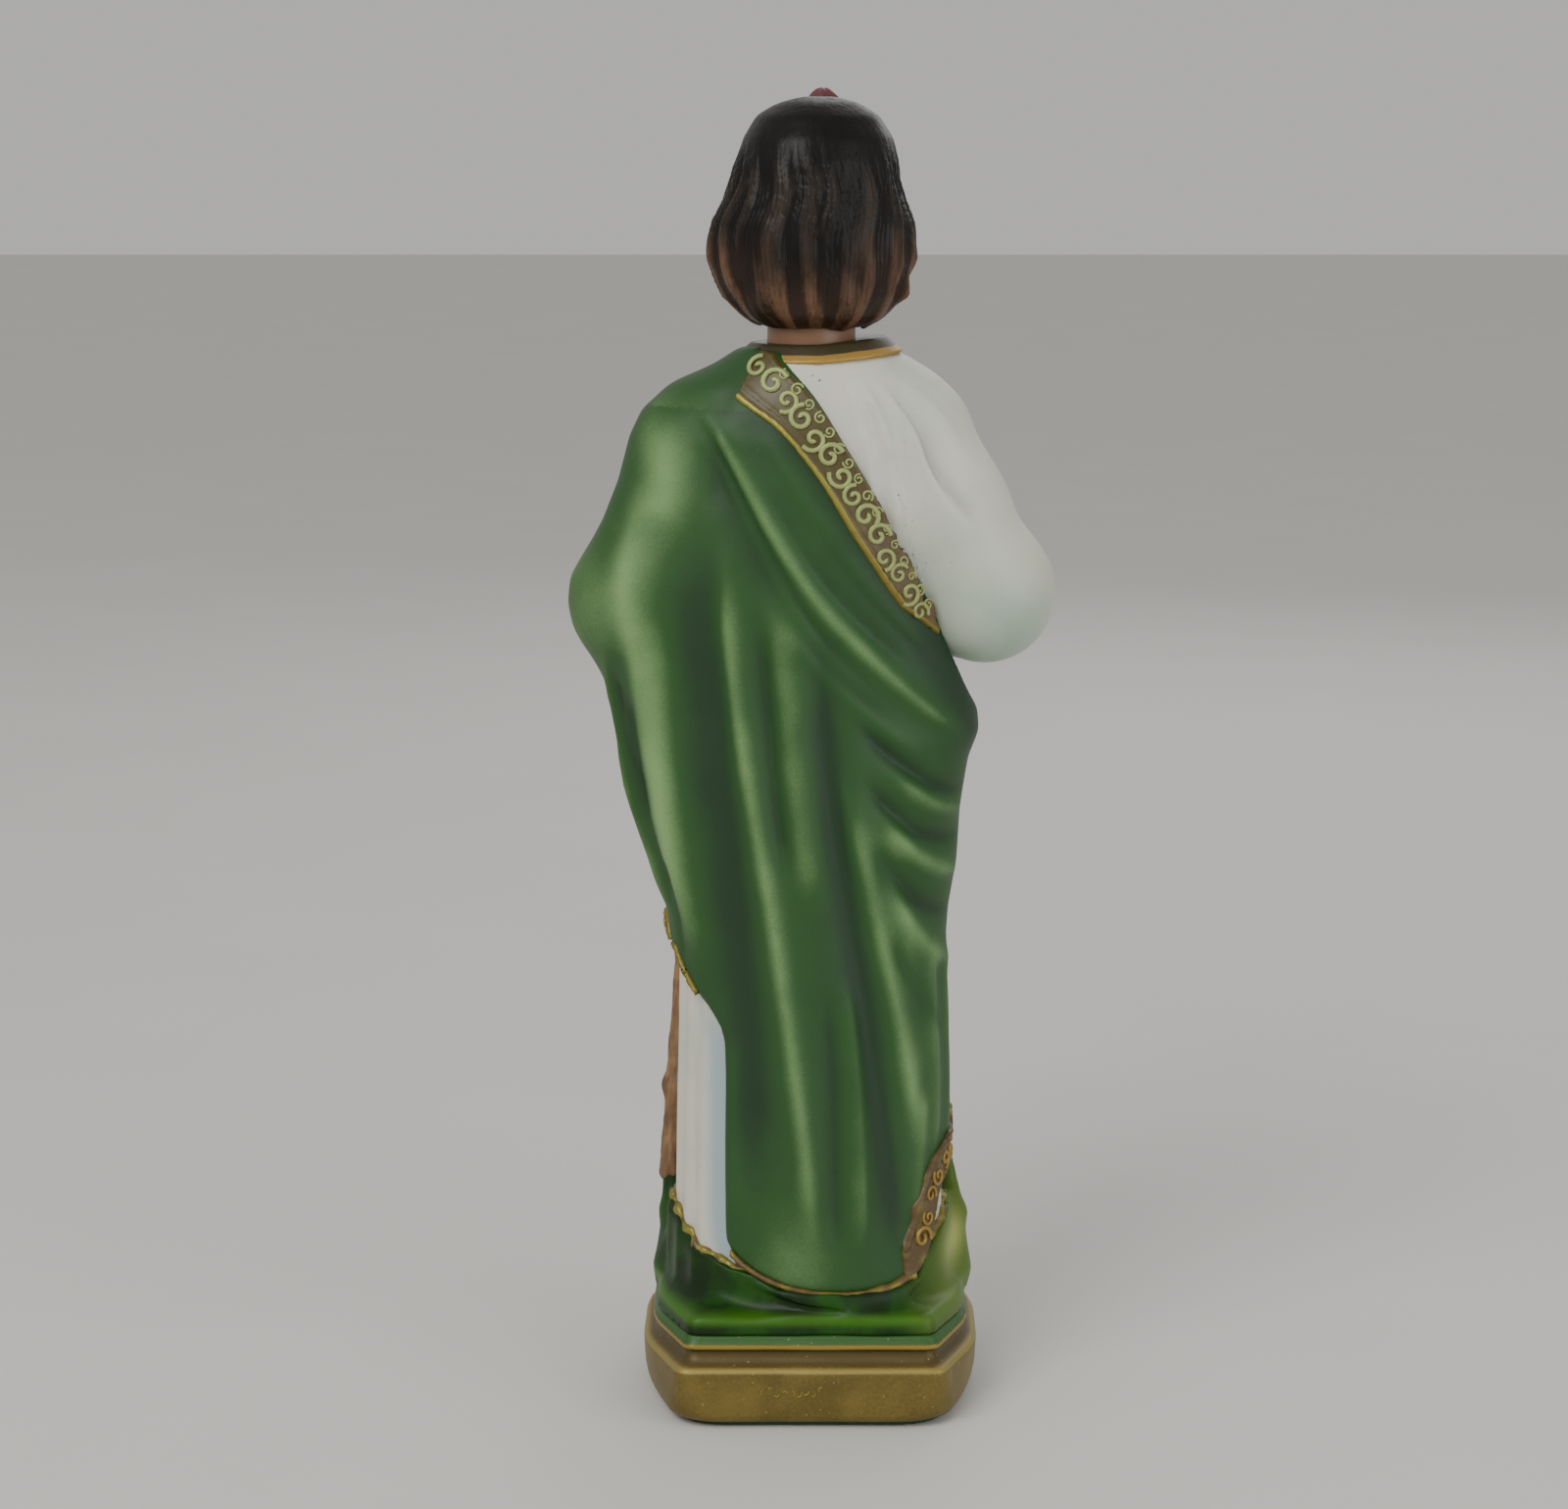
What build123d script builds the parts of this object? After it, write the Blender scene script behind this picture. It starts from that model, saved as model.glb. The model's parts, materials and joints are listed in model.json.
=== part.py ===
"""Painted plaster statuette of a standing robed figure on a cut-corner plinth.

Frame: origin on the resting face under the figure's axis, +Z up. The figure faces -Y, and its left
side is +X.
Every piece is a separate casting, wire or fitting, and pieces meet in sockets or on matching faces.
"""

import os
from typing import NamedTuple

from build123d import *

os.makedirs("parts", exist_ok=True)


class Ring(NamedTuple):
    """An elliptical cross-section, by how far it reaches from the figure's axis each way."""

    height: float
    left: float
    right: float
    back: float
    front: float


# ---------------------------------------------------------------- driving dimensions, in millimetres
PEG_GAP = 0.05  # clearance all round a wire or peg in its socket

PLUG_THICKNESS = 2.4
PLUG_GAP = 0.2
FELT_THICKNESS = 0.8
FELT_INSET = 1.6

PLINTH_WIDTH = 53.2
PLINTH_DEPTH = 52.0
PLINTH_FORWARD = 2.0  # the figure stands this far behind the plinth's middle
PLINTH_BLOCK_HEIGHT = 9.2
PLINTH_NECK_HEIGHT = 1.6
PLINTH_CAP_HEIGHT = 3.0
PLINTH_NECK_INSET = 2.0
PLINTH_CAP_INSET = 1.2
CORNER_CUT_ACROSS = 6.0
CORNER_CUT_DEEP = 15.0
PLINTH_FOOT_ROUND = 1.4
PLINTH_EDGE_ROUND = 0.7

GROUND_INSET = 2.0
GROUND_SLOPE_HEIGHT = 4.6
GROUND_LEAN = 0.6  # how far the ground's side leans in on its way up
SPUR_HEIGHT = 14.0  # rocks at the figure's sides, above the ground's top
SPUR_HALF_WIDTH = 2.8
SPUR_HALF_DEPTH = 5.2
SPUR_TOP_SHARE = 0.65
SPUR_OUT = 21.2
SPUR_FORWARD = 10.0

SKIRT_HEIGHT = 86.0  # ground to waist
TORSO_HEIGHT = 60.0  # waist to neckline
CAVITY_WIDTH = 22.0  # hollow left by draining the mould
CAVITY_DEPTH = 14.0
CAVITY_HEIGHT = 96.0
CAVITY_TOP_SHARE = 0.6

BORDER_RELIEF = 0.7  # how far the mantle's moulded borders stand out from it
FRONT_BORDER_WIDTH = 5.6
SIDE_BORDER_WIDTH = 5.4
HEM_RELIEF = 0.6
HEM_WIDTH = 1.8
TUNIC_HEM_WIDTH = 3.2
TUNIC_HEM_LIFT = 0.02  # share of the skirt's height that the tunic's hem band starts at

COLLAR_HEIGHT = 2.0
NECK_RADIUS = 6.9
NECK_SOCKET_DEPTH = 7.0
NECK_BACK = 0.6  # the neck stands this far behind the figure's axis
FACE_HALF_WIDTH = 8.3
FACE_OPENING_FROM = 2.0

HEAD_HEIGHT = 29.0  # chin to crown
NECK_LENGTH = 7.4  # neckline to chin
HAIR_TOP_THICKNESS = 2.0

WRIST_WIRE_RADIUS = 0.7
WRIST_WIRE_IN_SLEEVE = 6.0
WRIST_WIRE_IN_HAND = 2.8
NECK_ROD_RADIUS = 1.5
SHOULDER_DOWEL_RADIUS = 1.6
NECK_ROD_LENGTH = 44.0

SLEEVE_RADIUS = 10.4  # right sleeve at the elbow
SLEEVE_MOUTH_RADIUS = 6.6
CUFF_RADIUS = 4.6
CUFF_LENGTH = 2.4
PALM_LENGTH = 8.4
PALM_WIDTH = 7.4
PALM_THICKNESS = 3.6
FINGER_RADIUS = 1.05
FINGER_LENGTHS = [6.0, 7.2, 7.6, 6.6]  # little finger first
FINGER_TIP_SHARE = 0.8
FINGER_PITCH = 1.95
FINGER_SPREAD = 1.15  # how much further apart the fingertips are than the knuckles
THUMB_RADIUS = 1.3
THUMB_LENGTH = 6.0

STAFF_RADIUS = 2.1
STAFF_HEAD_RADIUS = 3.2
STAFF_TOP_RADIUS = 1.6
STAFF_SOCKET_DEPTH = 1.6

FOOT_LENGTH = 15.0
FOOT_WIDTH = 8.4
FOOT_HEIGHT = 5.2
FOOT_SPREAD = 7.4
FOOT_FORWARD = 15.0
SOLE_THICKNESS = 1.4
SOLE_MARGIN = 0.9

FLAME_X = -1.9
FLAME_Y = -7.2
FLAME_RADIUS = 2.1
FLAME_HEIGHT = 5.6
FLAME_TIP_RADIUS = 0.3
FLAME_ABOVE_HAIR = 1.4
FLAME_PIN_RADIUS = 0.5
FLAME_PIN_LENGTH = 3.0

# ---------------------------------------------------------------- levels that follow from them
PLINTH_TOP = FELT_THICKNESS + PLINTH_BLOCK_HEIGHT + PLINTH_NECK_HEIGHT + PLINTH_CAP_HEIGHT
GROUND_TOP = PLINTH_TOP + GROUND_SLOPE_HEIGHT
WAIST = GROUND_TOP + SKIRT_HEIGHT
NECKLINE = WAIST + TORSO_HEIGHT
CHIN = NECKLINE + NECK_LENGTH
CROWN = CHIN + HEAD_HEIGHT
HAIR_TOP = CROWN + HAIR_TOP_THICKNESS


def on_skirt(share):
    """Height of a share of the way from the ground to the waist."""
    return GROUND_TOP + share * SKIRT_HEIGHT


def on_torso(share):
    """Height of a share of the way from the waist to the neckline."""
    return WAIST + share * TORSO_HEIGHT


def on_head(share):
    """Height of a share of the way from the chin to the crown."""
    return CHIN + share * HEAD_HEIGHT


# ---------------------------------------------------------------- cross-sections, bottom to top
TUNIC = [
    Ring(on_skirt(0.0), 20.8, 20.6, 16.6, 17.4),
    Ring(on_skirt(0.16), 20.3, 20.4, 16.4, 16.6),
    Ring(on_skirt(0.5), 20.4, 19.4, 15.9, 15.4),
    Ring(on_skirt(0.78), 19.6, 19.4, 15.0, 14.8),
    Ring(on_torso(0.0), 18.6, 19.0, 14.2, 14.0),
    Ring(on_torso(0.33), 19.8, 20.4, 14.4, 14.4),
    Ring(on_torso(0.66), 19.8, 20.4, 14.0, 13.8),
    Ring(on_torso(0.84), 17.4, 19.2, 12.4, 12.2),
    Ring(on_torso(0.94), 13.6, 15.8, 10.4, 10.2),
    Ring(on_torso(1.0), 8.8, 9.2, 8.6, 8.4),
]
MANTLE = [
    Ring(on_skirt(0.0), 21.8, 22.6, 19.4, 19.2),
    Ring(on_skirt(0.16), 21.9, 22.3, 19.0, 18.6),
    Ring(on_skirt(0.5), 22.3, 22.0, 18.4, 17.6),
    Ring(on_skirt(0.66), 22.9, 21.7, 17.9, 17.4),
    Ring(on_skirt(0.82), 27.4, 23.3, 17.4, 17.2),
    Ring(on_torso(0.0), 30.7, 25.4, 17.0, 17.0),
    Ring(on_torso(0.18), 34.2, 24.6, 17.0, 17.2),
    Ring(on_torso(0.34), 37.6, 23.6, 17.2, 17.0),
    Ring(on_torso(0.5), 34.4, 23.2, 17.0, 16.4),
    Ring(on_torso(0.7), 29.8, 22.8, 16.6, 15.6),
    Ring(on_torso(0.84), 26.6, 20.8, 15.0, 14.4),
    Ring(on_torso(0.93), 22.4, 17.2, 12.8, 12.4),
    Ring(on_torso(0.99), 12.6, 10.6, 10.2, 9.8),
]
HEAD = [
    Ring(on_head(0.0), 2.6, 2.6, -4.6, 10.0),
    Ring(on_head(0.08), 5.4, 5.4, 2.0, 11.2),
    Ring(on_head(0.28), 8.0, 8.0, 7.4, 11.8),
    Ring(on_head(0.48), 9.4, 9.4, 11.0, 11.6),
    Ring(on_head(0.68), 9.7, 9.7, 11.8, 11.3),
    Ring(on_head(0.88), 7.6, 7.6, 9.4, 8.6),
    Ring(on_head(1.0), 2.4, 2.4, 3.0, 2.6),
]
HAIR = [
    Ring(on_head(-0.08), 8.0, 8.4, 9.6, 3.4),
    Ring(on_head(-0.02), 10.9, 11.6, 11.6, 5.4),
    Ring(on_head(0.1), 14.1, 14.2, 13.6, 8.2),
    Ring(on_head(0.24), 15.7, 15.9, 14.6, 9.8),
    Ring(on_head(0.37), 15.7, 15.8, 14.9, 10.8),
    Ring(on_head(0.5), 14.2, 14.6, 14.6, 12.0),
    Ring(on_head(0.64), 12.2, 13.2, 14.2, 13.0),
    Ring(on_head(0.82), 10.9, 12.4, 12.8, 12.0),
    Ring(on_head(0.96), 8.4, 10.2, 9.8, 9.0),
    Ring(HAIR_TOP, 2.6, 4.0, 3.8, 3.0),
]


def stack(rings, grow=0.0):
    """A closed solid through a stack of elliptical sections, grown outwards by grow."""
    with BuildPart() as body:
        for ring in rings:
            with BuildSketch(Plane.XY.offset(ring.height)):
                with Locations(((ring.left - ring.right) / 2, (ring.back - ring.front) / 2)):
                    Ellipse((ring.left + ring.right) / 2 + grow, (ring.back + ring.front) / 2 + grow)
        loft()
    return body.part


def limb(stations):
    """A closed solid through circles set square to a path, each station being a point and a radius."""
    points = [Vector(*point) for point, _ in stations]
    with BuildPart() as body:
        for i, (point, radius) in enumerate(stations):
            along = points[min(i + 1, len(points) - 1)] - points[max(i - 1, 0)]
            with BuildSketch(Plane(origin=points[i], z_dir=along)):
                Circle(radius)
        loft(ruled=True)
    return body.part


def wire(start, end, radius):
    """A round wire or peg from one point to another."""
    run = Vector(*end) - Vector(*start)
    with BuildPart() as body:
        with BuildSketch(Plane(origin=start, z_dir=run)):
            Circle(radius)
        extrude(amount=run.length)
    return body.part


def slab(outline, near, far):
    """A prism of an outline in X and Z that runs from the depth near to the depth far along Y."""
    with BuildPart() as body:
        with BuildSketch(Plane.XZ.offset(-near)):
            with BuildLine():
                Polyline(*outline, close=True)
            make_face()
        extrude(amount=near - far)
    return body.part


def cut_corner_rectangle(inset):
    """The plinth's plan, a rectangle with its four corners cut, drawn in by inset."""
    x = PLINTH_WIDTH / 2 - inset
    y = PLINTH_DEPTH / 2 - inset
    cut_x = x - CORNER_CUT_ACROSS
    cut_y = y - CORNER_CUT_DEEP
    corners = [(x, cut_y), (cut_x, y), (-cut_x, y), (-x, cut_y)]
    corners += [(-x, -cut_y), (-cut_x, -y), (cut_x, -y), (x, -cut_y)]
    return Polygon(*[(a, b - PLINTH_FORWARD) for a, b in corners], align=None)


def save(body, name):
    """Labels a finished piece and writes its STEP file."""
    body.label = name
    export_step(body, f"parts/{name}.step")


# ---------------------------------------------------------------- whole shapes that several pieces are cut by
tunic_shape = stack(TUNIC)
mantle_shape = stack(MANTLE)

# Upper edge of the mantle across the back, from the left side of the neck to the right hip.
BACK_EDGE = [
    (4.3, on_torso(1.05)),
    (1.3, on_torso(0.885)),
    (-3.2, on_torso(0.75)),
    (-12.2, on_torso(0.46)),
    (-19.7, on_torso(0.26)),
    (-30.0, on_torso(0.02)),
]
BACK_BORDER_SPREAD = [8.5, 8.6, 7.6, 6.6, 5.6, 5.6]  # its width along X at each of those points
# Upper edge across the front, from the right hip to the left forearm, then up to the left shoulder.
FRONT_EDGE = [
    (-30.0, on_torso(0.02)),
    (-16.0, on_torso(-0.03)),
    (-2.0, on_torso(0.02)),
    (8.0, on_torso(0.16)),
    (11.0, on_torso(0.3)),
    (11.0, on_torso(0.7)),
    (7.0, on_torso(1.05)),
]
# Lower edge across the front, from the left side down to the right side.
FRONT_HEM = [
    (24.0, on_skirt(0.6)),
    (6.0, on_skirt(0.47)),
    (-12.0, on_skirt(0.33)),
    (-26.0, on_skirt(0.22)),
]
# The left side of the back: the hem, the straight side edge, then the slanting end of the arm's drape.
SIDE_EDGE_X = 14.3
BACK_HEM = [
    (-30.0, on_skirt(0.0)),
    (4.0, on_skirt(0.01)),
    (SIDE_EDGE_X, on_skirt(0.075)),
    (SIDE_EDGE_X, on_skirt(0.49)),
    (22.6, on_skirt(0.61)),
]
FAR_OUT = 48.0
ABOVE_ALL = HAIR_TOP + 10


def shifted(points, across=0.0, up=0.0):
    """The same outline moved by across in X and up in Z."""
    return [(x + across, z + up) for x, z in points]


back_outline = BACK_HEM + [(FAR_OUT, on_skirt(0.66)), (FAR_OUT, ABOVE_ALL), (4.3, ABOVE_ALL)] + BACK_EDGE
back_outline += [(-FAR_OUT, on_torso(0.0)), (-FAR_OUT, on_skirt(0.0))]
front_outline = FRONT_HEM + FRONT_EDGE + [(7.0, ABOVE_ALL), (FAR_OUT, ABOVE_ALL), (FAR_OUT, on_skirt(0.62))]

# ---------------------------------------------------------------- places of arms and staff
RIGHT_SHOULDER_TOP = (-12.0, 0.6, on_torso(0.87))
RIGHT_SHOULDER = (-16.0, 0.9, on_torso(0.74))
RIGHT_UPPER_ARM = (-21.5, 1.4, on_torso(0.56))
RIGHT_ELBOW = (-27.0, 1.0, on_torso(0.34))
RIGHT_FOREARM = (-20.5, -13.5, on_torso(0.42))
RIGHT_WRIST = (-11.0, -20.0, on_torso(0.52))
RIGHT_FINGERS = (2.0, -16.6, on_torso(0.66))
LEFT_ELBOW = (28.4, 0.0, on_torso(0.33))
LEFT_FOREARM = (26.4, -12.0, on_torso(0.26))
LEFT_CUFF_START = (25.2, -15.0, on_torso(0.245))
LEFT_WRIST = (20.6, -21.4, on_torso(0.22))
STAFF_FOOT = (22.6, -SPUR_FORWARD, GROUND_TOP + SPUR_HEIGHT - STAFF_SOCKET_DEPTH)
STAFF_GRIP = (16.4, -24.6, on_torso(0.22))

# ---------------------------------------------------------------- the drained hollow and its closing plug
with BuildPart() as hollow:
    with BuildSketch(Plane.XY.offset(FELT_THICKNESS)):
        Ellipse(CAVITY_WIDTH / 2, CAVITY_DEPTH / 2)
    with BuildSketch(Plane.XY.offset(FELT_THICKNESS + CAVITY_HEIGHT)):
        Ellipse(CAVITY_TOP_SHARE * CAVITY_WIDTH / 2, CAVITY_TOP_SHARE * CAVITY_DEPTH / 2)
    loft()

with BuildPart() as plug:
    with BuildSketch(Plane.XY.offset(FELT_THICKNESS)):
        Ellipse(CAVITY_WIDTH / 2 - PLUG_GAP, CAVITY_DEPTH / 2 - PLUG_GAP)
    extrude(amount=PLUG_THICKNESS)
save(plug.part, "pour_hole_plug")

# ---------------------------------------------------------------- felt pad and plinth
with BuildPart() as felt:
    with BuildSketch():
        cut_corner_rectangle(FELT_INSET)
    extrude(amount=FELT_THICKNESS)
save(felt.part, "felt_pad")

with BuildPart() as plinth:
    with BuildSketch(Plane.XY.offset(FELT_THICKNESS)):
        cut_corner_rectangle(0)
    extrude(amount=PLINTH_BLOCK_HEIGHT)
    fillet(plinth.edges().group_by(Axis.Z)[0], PLINTH_FOOT_ROUND)
    fillet(plinth.edges().group_by(Axis.Z)[-1], PLINTH_EDGE_ROUND)
    with BuildSketch(Plane.XY.offset(FELT_THICKNESS + PLINTH_BLOCK_HEIGHT)):
        cut_corner_rectangle(PLINTH_NECK_INSET)
    extrude(amount=PLINTH_NECK_HEIGHT)
    with BuildSketch(Plane.XY.offset(FELT_THICKNESS + PLINTH_BLOCK_HEIGHT + PLINTH_NECK_HEIGHT)):
        cut_corner_rectangle(PLINTH_CAP_INSET)
    extrude(amount=PLINTH_CAP_HEIGHT)
    fillet(plinth.edges().group_by(Axis.Z)[-1], PLINTH_EDGE_ROUND)
    add(hollow.part, mode=Mode.SUBTRACT)
save(plinth.part, "plinth")

# ---------------------------------------------------------------- feet and soles
feet = {}
soles = {}
for name, side in (("left", 1), ("right", -1)):
    centre = (side * FOOT_SPREAD, -FOOT_FORWARD)
    ankle = (side * FOOT_SPREAD, -FOOT_FORWARD + FOOT_LENGTH / 4)
    with BuildPart() as sole:
        with BuildSketch(Plane.XY.offset(GROUND_TOP)):
            with Locations(centre):
                Ellipse(FOOT_WIDTH / 2 + SOLE_MARGIN, FOOT_LENGTH / 2 + SOLE_MARGIN)
        extrude(amount=SOLE_THICKNESS)
    with BuildPart() as foot:
        with BuildSketch(Plane.XY.offset(GROUND_TOP + SOLE_THICKNESS)):
            with Locations(centre):
                Ellipse(FOOT_WIDTH / 2, FOOT_LENGTH / 2)
        with BuildSketch(Plane.XY.offset(GROUND_TOP + SOLE_THICKNESS + FOOT_HEIGHT)):
            with Locations(ankle):
                Ellipse(FOOT_WIDTH / 3, FOOT_LENGTH / 4)
        loft()
    soles[name] = sole.part
    feet[name] = foot.part
    save(sole.part, f"{name}_sole")
    save(foot.part, f"{name}_foot")

# ---------------------------------------------------------------- wires cast into the thin places
neck_rod = wire((0, 0, on_head(0.5) - NECK_ROD_LENGTH), (0, 0, on_head(0.5)), NECK_ROD_RADIUS)
neck_bore = wire((0, 0, on_head(0.5) - NECK_ROD_LENGTH), (0, 0, on_head(0.5)), NECK_ROD_RADIUS + PEG_GAP)
shoulder_dowel = wire((-12.0, 0.4, on_torso(0.66)), (-24.0, 0.8, on_torso(0.5)), SHOULDER_DOWEL_RADIUS)
save(neck_rod, "neck_rod")
save(shoulder_dowel, "shoulder_dowel")

# ---------------------------------------------------------------- head, neck and hair
with BuildPart() as head:
    add(stack(HEAD))
    with BuildSketch(Plane.XY.offset(NECKLINE - NECK_SOCKET_DEPTH)):
        with Locations((0, NECK_BACK)):
            Circle(NECK_RADIUS)
    extrude(amount=NECK_SOCKET_DEPTH + NECK_LENGTH + HEAD_HEIGHT / 3)
neck_spigot = wire((0, NECK_BACK, NECKLINE - NECK_SOCKET_DEPTH), (0, NECK_BACK, CHIN), NECK_RADIUS)
head_shape = head.part
with BuildPart() as face_opening:
    with BuildSketch(Plane.XZ.offset(FACE_OPENING_FROM)):
        with BuildLine():
            Polyline(
                (FACE_HALF_WIDTH, NECKLINE),
                (FACE_HALF_WIDTH, on_head(0.6)),
                (0.6 * FACE_HALF_WIDTH, on_head(0.76)),
                (0, on_head(0.82)),
                (-0.6 * FACE_HALF_WIDTH, on_head(0.76)),
                (-FACE_HALF_WIDTH, on_head(0.6)),
                (-FACE_HALF_WIDTH, NECKLINE),
                close=True,
            )
        make_face()
    extrude(amount=HEAD_HEIGHT)
with BuildPart() as hair:
    add(stack(HAIR))
    add(face_opening.part, mode=Mode.SUBTRACT)
    add(head_shape, mode=Mode.SUBTRACT)
    add(neck_bore, mode=Mode.SUBTRACT)

# ---------------------------------------------------------------- flame on its pin
flame_foot = HAIR_TOP + FLAME_ABOVE_HAIR - FLAME_HEIGHT
flame_pin = wire(
    (FLAME_X, FLAME_Y, flame_foot - FLAME_PIN_LENGTH / 2),
    (FLAME_X, FLAME_Y, flame_foot + FLAME_PIN_LENGTH / 2),
    FLAME_PIN_RADIUS,
)
with BuildPart() as flame:
    with BuildSketch(Plane.XY.offset(flame_foot)):
        with Locations((FLAME_X, FLAME_Y)):
            Circle(0.7 * FLAME_RADIUS)
    with BuildSketch(Plane.XY.offset(flame_foot + 0.4 * FLAME_HEIGHT)):
        with Locations((FLAME_X, FLAME_Y)):
            Circle(FLAME_RADIUS)
    with BuildSketch(Plane.XY.offset(flame_foot + FLAME_HEIGHT)):
        with Locations((FLAME_X, FLAME_Y)):
            Circle(FLAME_TIP_RADIUS)
    loft()
    add(flame_pin, mode=Mode.SUBTRACT)
save(flame_pin, "flame_pin")
save(flame.part, "flame")

with BuildPart() as head_casting:
    add(head_shape)
    for cutter in (neck_bore, flame.part, flame_pin):
        add(cutter, mode=Mode.SUBTRACT)
save(head_casting.part, "head")

with BuildPart() as hair_casting:
    add(hair.part)
    for cutter in (flame.part, flame_pin):
        add(cutter, mode=Mode.SUBTRACT)
save(hair_casting.part, "hair")

# ---------------------------------------------------------------- tunic
with BuildPart() as tunic:
    add(tunic_shape)
    add(hollow.part, mode=Mode.SUBTRACT)
    add(neck_spigot, mode=Mode.SUBTRACT)
    add(neck_bore, mode=Mode.SUBTRACT)
    add(shoulder_dowel, mode=Mode.SUBTRACT)
    for name in feet:
        add(feet[name], mode=Mode.SUBTRACT)
        add(soles[name], mode=Mode.SUBTRACT)
save(tunic.part, "tunic")

# ---------------------------------------------------------------- staff
def on_staff(share):
    """A point on the staff's line, from its foot at 0 to the left hand's grip at 1 and on past it."""
    return tuple(a + share * (b - a) for a, b in zip(STAFF_FOOT, STAFF_GRIP))


staff = limb(
    [
        (on_staff(0.0), 0.7 * STAFF_HEAD_RADIUS),
        (on_staff(0.12), STAFF_HEAD_RADIUS),
        (on_staff(0.24), STAFF_RADIUS),
        (on_staff(0.6), STAFF_RADIUS),
        (on_staff(1.28), STAFF_TOP_RADIUS),
    ]
)
save(staff, "staff")

# ---------------------------------------------------------------- ground
with BuildPart() as ground:
    with BuildSketch(Plane.XY.offset(PLINTH_TOP)):
        cut_corner_rectangle(GROUND_INSET)
    with BuildSketch(Plane.XY.offset(GROUND_TOP)):
        cut_corner_rectangle(GROUND_INSET + GROUND_LEAN)
    loft()
    for side in (1, -1):
        with BuildSketch(Plane.XY.offset(GROUND_TOP)):
            with Locations((side * SPUR_OUT, -SPUR_FORWARD)):
                Ellipse(SPUR_HALF_WIDTH, SPUR_HALF_DEPTH)
        with BuildSketch(Plane.XY.offset(GROUND_TOP + SPUR_HEIGHT)):
            with Locations((side * SPUR_OUT, -SPUR_FORWARD)):
                Ellipse(SPUR_TOP_SHARE * SPUR_HALF_WIDTH, SPUR_TOP_SHARE * SPUR_HALF_DEPTH)
        loft()
    add(hollow.part, mode=Mode.SUBTRACT)
    add(tunic_shape, mode=Mode.SUBTRACT)
    add(staff, mode=Mode.SUBTRACT)
save(ground.part, "ground")

# ---------------------------------------------------------------- mantle and its moulded borders
back_slab = slab(back_outline, FAR_OUT, 0)
front_slab = slab(front_outline, 0, -FAR_OUT)
left_forearm = limb([(LEFT_ELBOW, 9.0), (LEFT_FOREARM, 8.4), (LEFT_CUFF_START, 7.6)])
with BuildPart() as mantle:
    add(mantle_shape)
    add(left_forearm)
    add(tunic_shape, mode=Mode.SUBTRACT)
    add(back_slab + front_slab, mode=Mode.INTERSECT)
mantle_shell = mantle.part


def moulded_band(rings, relief, region):
    """A low band standing relief proud of a stack of sections, wherever the region covers it."""
    with BuildPart() as band:
        add(stack(rings, relief))
        add(stack(rings), mode=Mode.SUBTRACT)
        add(tunic_shape, mode=Mode.SUBTRACT)
        add(region, mode=Mode.INTERSECT)
    return band.part


def strip(edge, far_edge, near, far):
    """A prism between an edge and a second edge that follows it."""
    return slab(edge + far_edge[::-1], near, far)


back_far_edge = [(x + spread, z) for (x, z), spread in zip(BACK_EDGE, BACK_BORDER_SPREAD)]
back_border = moulded_band(MANTLE, BORDER_RELIEF, strip(BACK_EDGE, back_far_edge, FAR_OUT, 0))
front_swag = FRONT_EDGE[:4]
front_border = moulded_band(
    MANTLE, BORDER_RELIEF, strip(front_swag, shifted(front_swag, 0, -FRONT_BORDER_WIDTH), 0, -FAR_OUT)
)
lower_border = moulded_band(
    MANTLE, BORDER_RELIEF, strip(FRONT_HEM, shifted(FRONT_HEM, 0, FRONT_BORDER_WIDTH), 0, -FAR_OUT)
)
side_panel = [(-FAR_OUT, on_skirt(0.03)), (-FAR_OUT, FRONT_HEM[-1][1] + FRONT_BORDER_WIDTH)]
side_far_edge = [(-MANTLE[0].right + SIDE_BORDER_WIDTH, z) for _, z in side_panel]
side_border = moulded_band(MANTLE, BORDER_RELIEF, strip(side_panel, side_far_edge, FAR_OUT, 0))
hem_edge = BACK_HEM[:3]
mantle_hem = moulded_band(MANTLE, HEM_RELIEF, strip(hem_edge, shifted(hem_edge, 0, HEM_WIDTH), FAR_OUT, 0))
save(mantle_shell, "mantle")
save(back_border, "mantle_border_back")
save(front_border, "mantle_border_front")
save(lower_border, "mantle_border_lower")
save(side_border, "mantle_border_side")
save(mantle_hem, "mantle_hem")

# ---------------------------------------------------------------- hem band round the tunic's foot
with BuildPart() as tunic_hem:
    add(stack(TUNIC, HEM_RELIEF))
    add(tunic_shape, mode=Mode.SUBTRACT)
    with BuildSketch(Plane.XY.offset(on_skirt(TUNIC_HEM_LIFT))):
        Rectangle(2 * FAR_OUT, 2 * FAR_OUT)
    extrude(amount=TUNIC_HEM_WIDTH, mode=Mode.INTERSECT)
    for cutter in (mantle_shell, mantle_hem, side_border, feet["left"], feet["right"], ground.part, staff):
        add(cutter, mode=Mode.SUBTRACT)
save(tunic_hem.part, "tunic_hem")

# ---------------------------------------------------------------- collar
seat = TUNIC[-1]
with BuildPart() as collar:
    with BuildSketch(Plane.XY.offset(seat.height)):
        with Locations(((seat.left - seat.right) / 2, (seat.back - seat.front) / 2)):
            Ellipse((seat.left + seat.right) / 2, (seat.back + seat.front) / 2)
    extrude(amount=COLLAR_HEIGHT)
    add(head_shape, mode=Mode.SUBTRACT)
save(collar.part, "collar")


def toward(start, end, distance):
    """The point that lies a distance from start on the way to end."""
    run = Vector(*end) - Vector(*start)
    return Vector(*start) + run.normalized() * distance


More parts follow.
